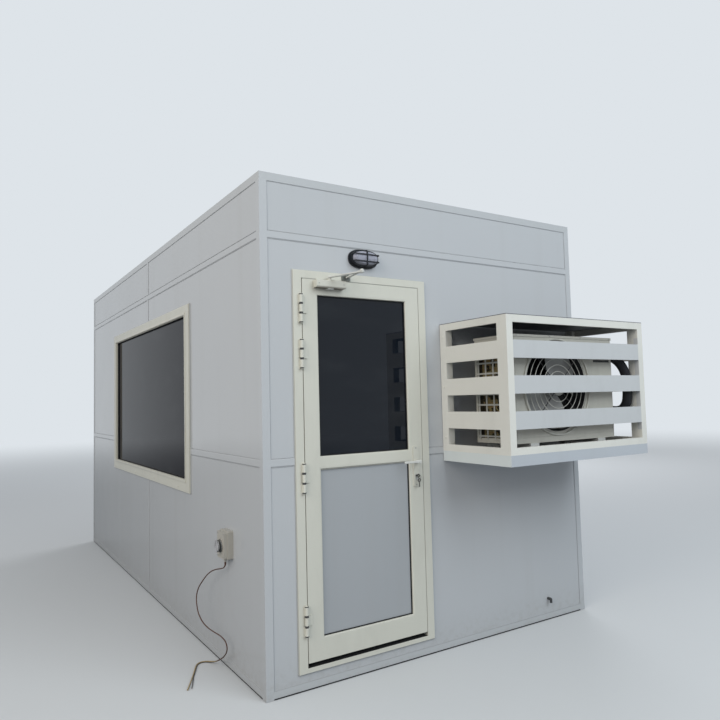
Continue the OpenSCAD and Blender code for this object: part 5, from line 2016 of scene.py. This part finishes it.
@dataclass
class SwitchBox(Section):
    """The switch box on the window side, with its gland and the power cord."""

    cord_d: float = 7.0
    cord_length: float = 1.615
    steps: int = 8
    sleeve_d: float = 12.0
    sleeve_length: float = 0.032
    sleeve_taper: float = 0.36
    core_d: float = 4.2
    core_from: int = 22
    core_short: int = 3
    core_beside: float = 0.0052
    core_apart: float = 0.016
    core_parts_at: float = 0.72
    core_drop: float = 4.0
    core_step_out: float = 6.0
    core_lift: float = 0.0003
    bare_d: float = 2.0
    bare_run: tuple[float, ...] = (-0.002, 0.003, 0.006, 0.008)
    bare_shares: tuple[float, ...] = (1.0, 1.05, 0.95, 0.6)
    route: tuple[Point, ...] = (
        (-27, 496, 610), (-27, 497, 597), (-28, 503, 585), (-31, 517, 573),
        (-37, 550, 562), (-46, 600, 549), (-56, 650, 530), (-68, 702, 497),
        (-80, 750, 452), (-91, 786, 408), (-99, 800, 362), (-103, 787, 314),
        (-102, 756, 266), (-95, 708, 230), (-84, 645, 210), (-72, 572, 203),
        (-60, 504, 199), (-51, 450, 184), (-47, 430, 154), (-47, 442, 120),
        (-49, 490, 80), (-51, 552, 46), (-54, 608, 21), (-63, 654, 8),
        (-86, 684, 4), (-120, 688, 4), (-148, 662, 4), (-172, 614, 4),
        (-198, 558, 4), (-228, 496, 4), (-260, 432, 4), (-290, 372, 4),
    )
    knob: Point = (-58, 496, 706)
    tick_low: Point = (-54.6, 495.3, 744.5)
    tick_high: Point = (-53.8, 496.7, 748.5)
    tick_more: float = 2.5
    tick_turn: float = 30.0
    tick_count: int = 7
    tick_every: int = 3
    tick_round: float = 0.3
    band: Sleeve = Sleeve((-61, 496, 706), Side.LEFT, 13.0, (32.03, 32.6), 48)
    rim: Sleeve = Sleeve((-76.6, 496, 706), Side.LEFT, 1.3, (26.5, 31.6), 48)
    flute: Block = Block((-73, 495, 738), (-62, 497, 739.2), 0.5)
    flutes: int = 30
    dial: Part = Part("dial_ring", CABIN, "switch_dark", "switch_dark", (
        Sleeve((-57.7, 496, 706), Side.LEFT, 1.1, (32.9, 36.6), 48),
    ))
    fixings: Part = Part("switch_screws", CABIN, "screw", "lock_steel", (
        Screws(4.0, 1.5, (
            Row(
                Side.LEFT, *near("switch_cover", "---", (4, 11, 11), "-++", (4, -11, -11)),
                (1, 2, 2),
            ),
        )),
    ))
    pointer: Part = Part("knob_pointer", TURNER, "switch_dark", "switch_dark", (
        Block((-85.5, 494.7, 710), (-84.6, 497.3, 740), 0.3),
    ))

    WEARS = {
        "switch_plastic": ("switch_box", "switch_cover", "cord_gland"),
        "knob_grey": ("switch_knob",),
    }

    def centreline(self) -> list[Vector]:
        """The cord's smooth centreline in metres, through the route's points.

        Returns:
            The points along it.
        """
        points = [placed(p) for p in self.route]
        last = len(points) - 1
        line = []
        for i, step in itertools.product(range(last), range(self.steps)):
            a, b = points[max(0, i - 1)], points[i]
            c, d = points[i + 1], points[min(last, i + 2)]
            t = step / self.steps
            square, cube = 2 * a - 5 * b + 4 * c - d, 3 * b - a - 3 * c + d
            line.append(0.5 * (2 * b + (c - a) * t + square * t**2 + cube * t**3))
        return [*line, points[last]]

    def strain_relief(self) -> Piece:
        """The soft tapered sleeve below the gland, bent as the cord bends.

        Returns:
            The sleeve.
        """
        line, shares, run = [], [], 0.0
        for point in self.centreline():
            if line:
                run += (point - line[-1]).length
            line.append(point)
            shares.append(1.0 - self.sleeve_taper * run / self.sleeve_length)
            if run >= self.sleeve_length:
                break
        return meshed(strand("cord_sleeve", line, self.sleeve_d, shares, fine=7))

    def core_line(self) -> list[Vector]:
        """The middle of the core that lies beside the cord and parts from it at the end.

        Returns:
            The points along it, in metres.
        """
        middle = self.centreline()[self.core_from * self.steps :]
        last = len(middle) - 1
        lying = self.core_d / MM / 2 + self.core_lift
        line = []
        for index, point in enumerate(middle[: -self.core_short]):
            ahead = middle[min(index + 2, last)] - middle[max(index - 2, 0)]
            aside = Vector((-ahead.y, ahead.x, 0.0)).normalized()
            share = index / last
            parting = max(0.0, share - self.core_parts_at) / (1.0 - self.core_parts_at)
            out = self.core_beside * min(1.0, share * self.core_step_out)
            out += self.core_apart * parting
            drop = min(1.0, share * self.core_drop)
            height = point.z + (lying - point.z) * drop
            line.append(Vector((point.x, point.y, height)) + aside * out)
        return line

    def bare_end(self, line: Sequence[Vector]) -> Piece:
        """The bared copper at the end of the core.

        Args:
            line: The middle of the core.

        Returns:
            The copper.
        """
        way = (line[-1] - line[-3]).normalized()
        run = [line[-1] + way * step for step in self.bare_run]
        return meshed(strand("bare_core", run, self.bare_d, self.bare_shares, fine=3))

    def run_cord(self, fitter: Fitter) -> None:
        """Runs the cord with its sleeve and its core, and says what it is.

        Args:
            fitter: What puts them in place.
        """
        line, core_line = self.centreline(), self.core_line()
        cable = strand("power_cable", line, self.cord_d)
        cord = fitter.fit(cable, CABIN, "cord", ["power_cord"])
        sleeve = fitter.fit(self.strain_relief(), CABIN, "cord", smooth=60.0)
        core = meshed(strand("loose_core", core_line, self.core_d, fine=4))
        fitter.fit(core, CABIN, "core", smooth=60.0)
        bare = fitter.fit(self.bare_end(core_line), CABIN, "copper", smooth=60.0)

    def ticks(self) -> Piece:
        """Raised ticks round the dial, long at rest and at a quarter turn.

        Returns:
            The ticks.
        """
        parts = []
        for step in range(self.tick_count):
            top = Vector(self.tick_high)
            top.z += 0.0 if step % self.tick_every else self.tick_more
            tick = box("tick", self.tick_low, top, self.tick_round)
            tick.data.transform(about(self.knob, self.tick_turn * step - 90.0))
            parts.append(tick)
        return join("dial_ticks", parts)

    def knob_band(self) -> Piece:
        """The dark grip band round the knob, with fine flutes, and the dark rim of its face.

        Returns:
            The band.
        """
        turns = [about(self.knob, 360.0 * i / self.flutes) for i in range(self.flutes)]
        flutes = copies(self.flute.forms()[0], turns)
        return join("knob_band", [*self.band.forms(), *self.rim.forms(), *flutes])

    def add(self, fitter: Fitter) -> None:
        """Runs the cord and adds the small pieces of the switch.

        Args:
            fitter: What puts them in place.
        """
        self.run_cord(fitter)
        fitter.put(self.dial)
        fitter.fit(self.ticks(), CABIN, "switch_dark")
        fitter.put(self.fixings)
        fitter.fit(self.knob_band(), TURNER, "switch_dark")
        fitter.put(self.pointer)


@dataclass(frozen=True)
class SoftLight:
    """A soft square light that looks at the booth's middle."""

    name: str
    place: Point
    power: float
    colour: Colour
    size: float = 6.0
    middle: Point = (0.0, 0.0, 1.0)

    def hang(self) -> None:
        """Adds the light, unseen in gloss."""
        data = bpy.data.lights.new(self.name, "AREA")
        data.shape = "SQUARE"
        data.size = self.size
        data.energy = self.power
        data.color = self.colour
        light = bpy.data.objects.new(self.name, data)
        light.location = self.place
        look = Vector(self.middle) - Vector(self.place)
        light.rotation_euler = look.to_track_quat("-Z", "Y").to_euler()
        light.visible_glossy = False
        bpy.context.scene.collection.objects.link(light)


@dataclass
class Studio:
    """The plain floor, the soft lights, the pale surroundings and the camera."""

    camera_place: Point = (-2.5858, -5.4957, 1.5218)
    camera_turn: Point = (93.5878, 1.4010, -32.2957)
    lens: float = 32.03
    sensor: float = 36.0
    floor_size: float = 120.0
    floor_z: float = -0.001
    floor_roughness: float = 0.8
    floor_colour: Colour = (0.60, 0.61, 0.62)
    floor_bounce: Colour = (0.27, 0.28, 0.29)
    fade: Span = (5.5, 26.0)
    sky_colour: Colour = (0.73, 0.775, 0.815)
    sky_light: float = 0.62
    lights: tuple[SoftLight, ...] = (
        SoftLight("front_soft", (1.5, -9.0, 6.5), 400.0, (0.86, 0.95, 1.0)),
        SoftLight("left_soft", (-8.5, -5.5, 5.5), 430.0, (1.0, 0.94, 0.85)),
        SoftLight("back_soft", (8.0, 7.0, 6.0), 420.0, (0.95, 0.97, 1.0)),
    )

    def camera(self) -> None:
        """The camera, where the booth was seen from."""
        data = bpy.data.cameras.new("viewpoint")
        data.lens = self.lens
        data.sensor_width = self.sensor
        data.sensor_fit = "HORIZONTAL"
        camera = bpy.data.objects.new("viewpoint", data)
        camera.location = self.camera_place
        camera.rotation_euler = [math.radians(v) for v in self.camera_turn]
        bpy.context.scene.collection.objects.link(camera)
        bpy.context.scene.camera = camera

    def floor(self) -> None:
        """A pale floor that takes the booth's shadow and fades into the surroundings far away."""
        clear()
        bpy.ops.mesh.primitive_plane_add(size=self.floor_size, location=(0, 0, self.floor_z))
        floor = bpy.context.object
        floor.name = "studio_floor"
        graph = Graph("studio_floor")
        graph.paint(graph.mix(graph.ray("Camera"), self.floor_bounce, self.floor_colour))
        graph.set(Roughness=self.floor_roughness)
        x, y = graph.axis(0), graph.axis(1)
        away = ((x * x + y * y) ** 0.5).ramp(*self.fade)
        glow = graph.add("ShaderNodeEmission", {}, {"Color": (*self.sky_colour, 1.0)})
        lit = Term(graph, graph.shader.outputs[0])
        surface = graph.add("ShaderNodeMixShader", {}, {0: away * graph.seen(), 1: lit, 2: glow})
        graph.feed(graph.found("OUTPUT_MATERIAL").inputs["Surface"], surface)
        floor.data.materials.append(graph.material)

    def world(self) -> None:
        """Pale surroundings that the camera and gloss see, and that light the booth more gently."""
        world = bpy.data.worlds.new("surroundings")
        bpy.context.scene.world = world
        world.use_nodes = True
        tree = Tree(world.node_tree)
        background = tree.found("BACKGROUND")
        strength = {0: tree.seen(), 3: self.sky_light, 4: 1.0}
        tree.feed(background.inputs["Color"], (*self.sky_colour, 1.0))
        tree.feed(background.inputs["Strength"], tree.add("ShaderNodeMapRange", {}, strength))

    def build(self) -> None:
        """Sets the stage."""
        self.camera()
        self.floor()
        self.world()
        for light in self.lights:
            light.hang()
        bpy.context.scene.view_settings.view_transform = "Standard"


def main() -> None:
    """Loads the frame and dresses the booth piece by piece."""
    logging.basicConfig(level=logging.INFO, format="%(name)s: %(message)s")
    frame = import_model()
    clear()
    Studio().build()
    fitter = Fitter(Palette(), frame["nodes"])
    sections = (SwitchBox, Shell, Doorway, PictureWindow, BulkheadLamp, Cage, CoolingUnit)
    for section in sections:
        section().build(fitter)
    LOG.info("%d pieces added", fitter.count)


if __name__ == "__main__":
    main()
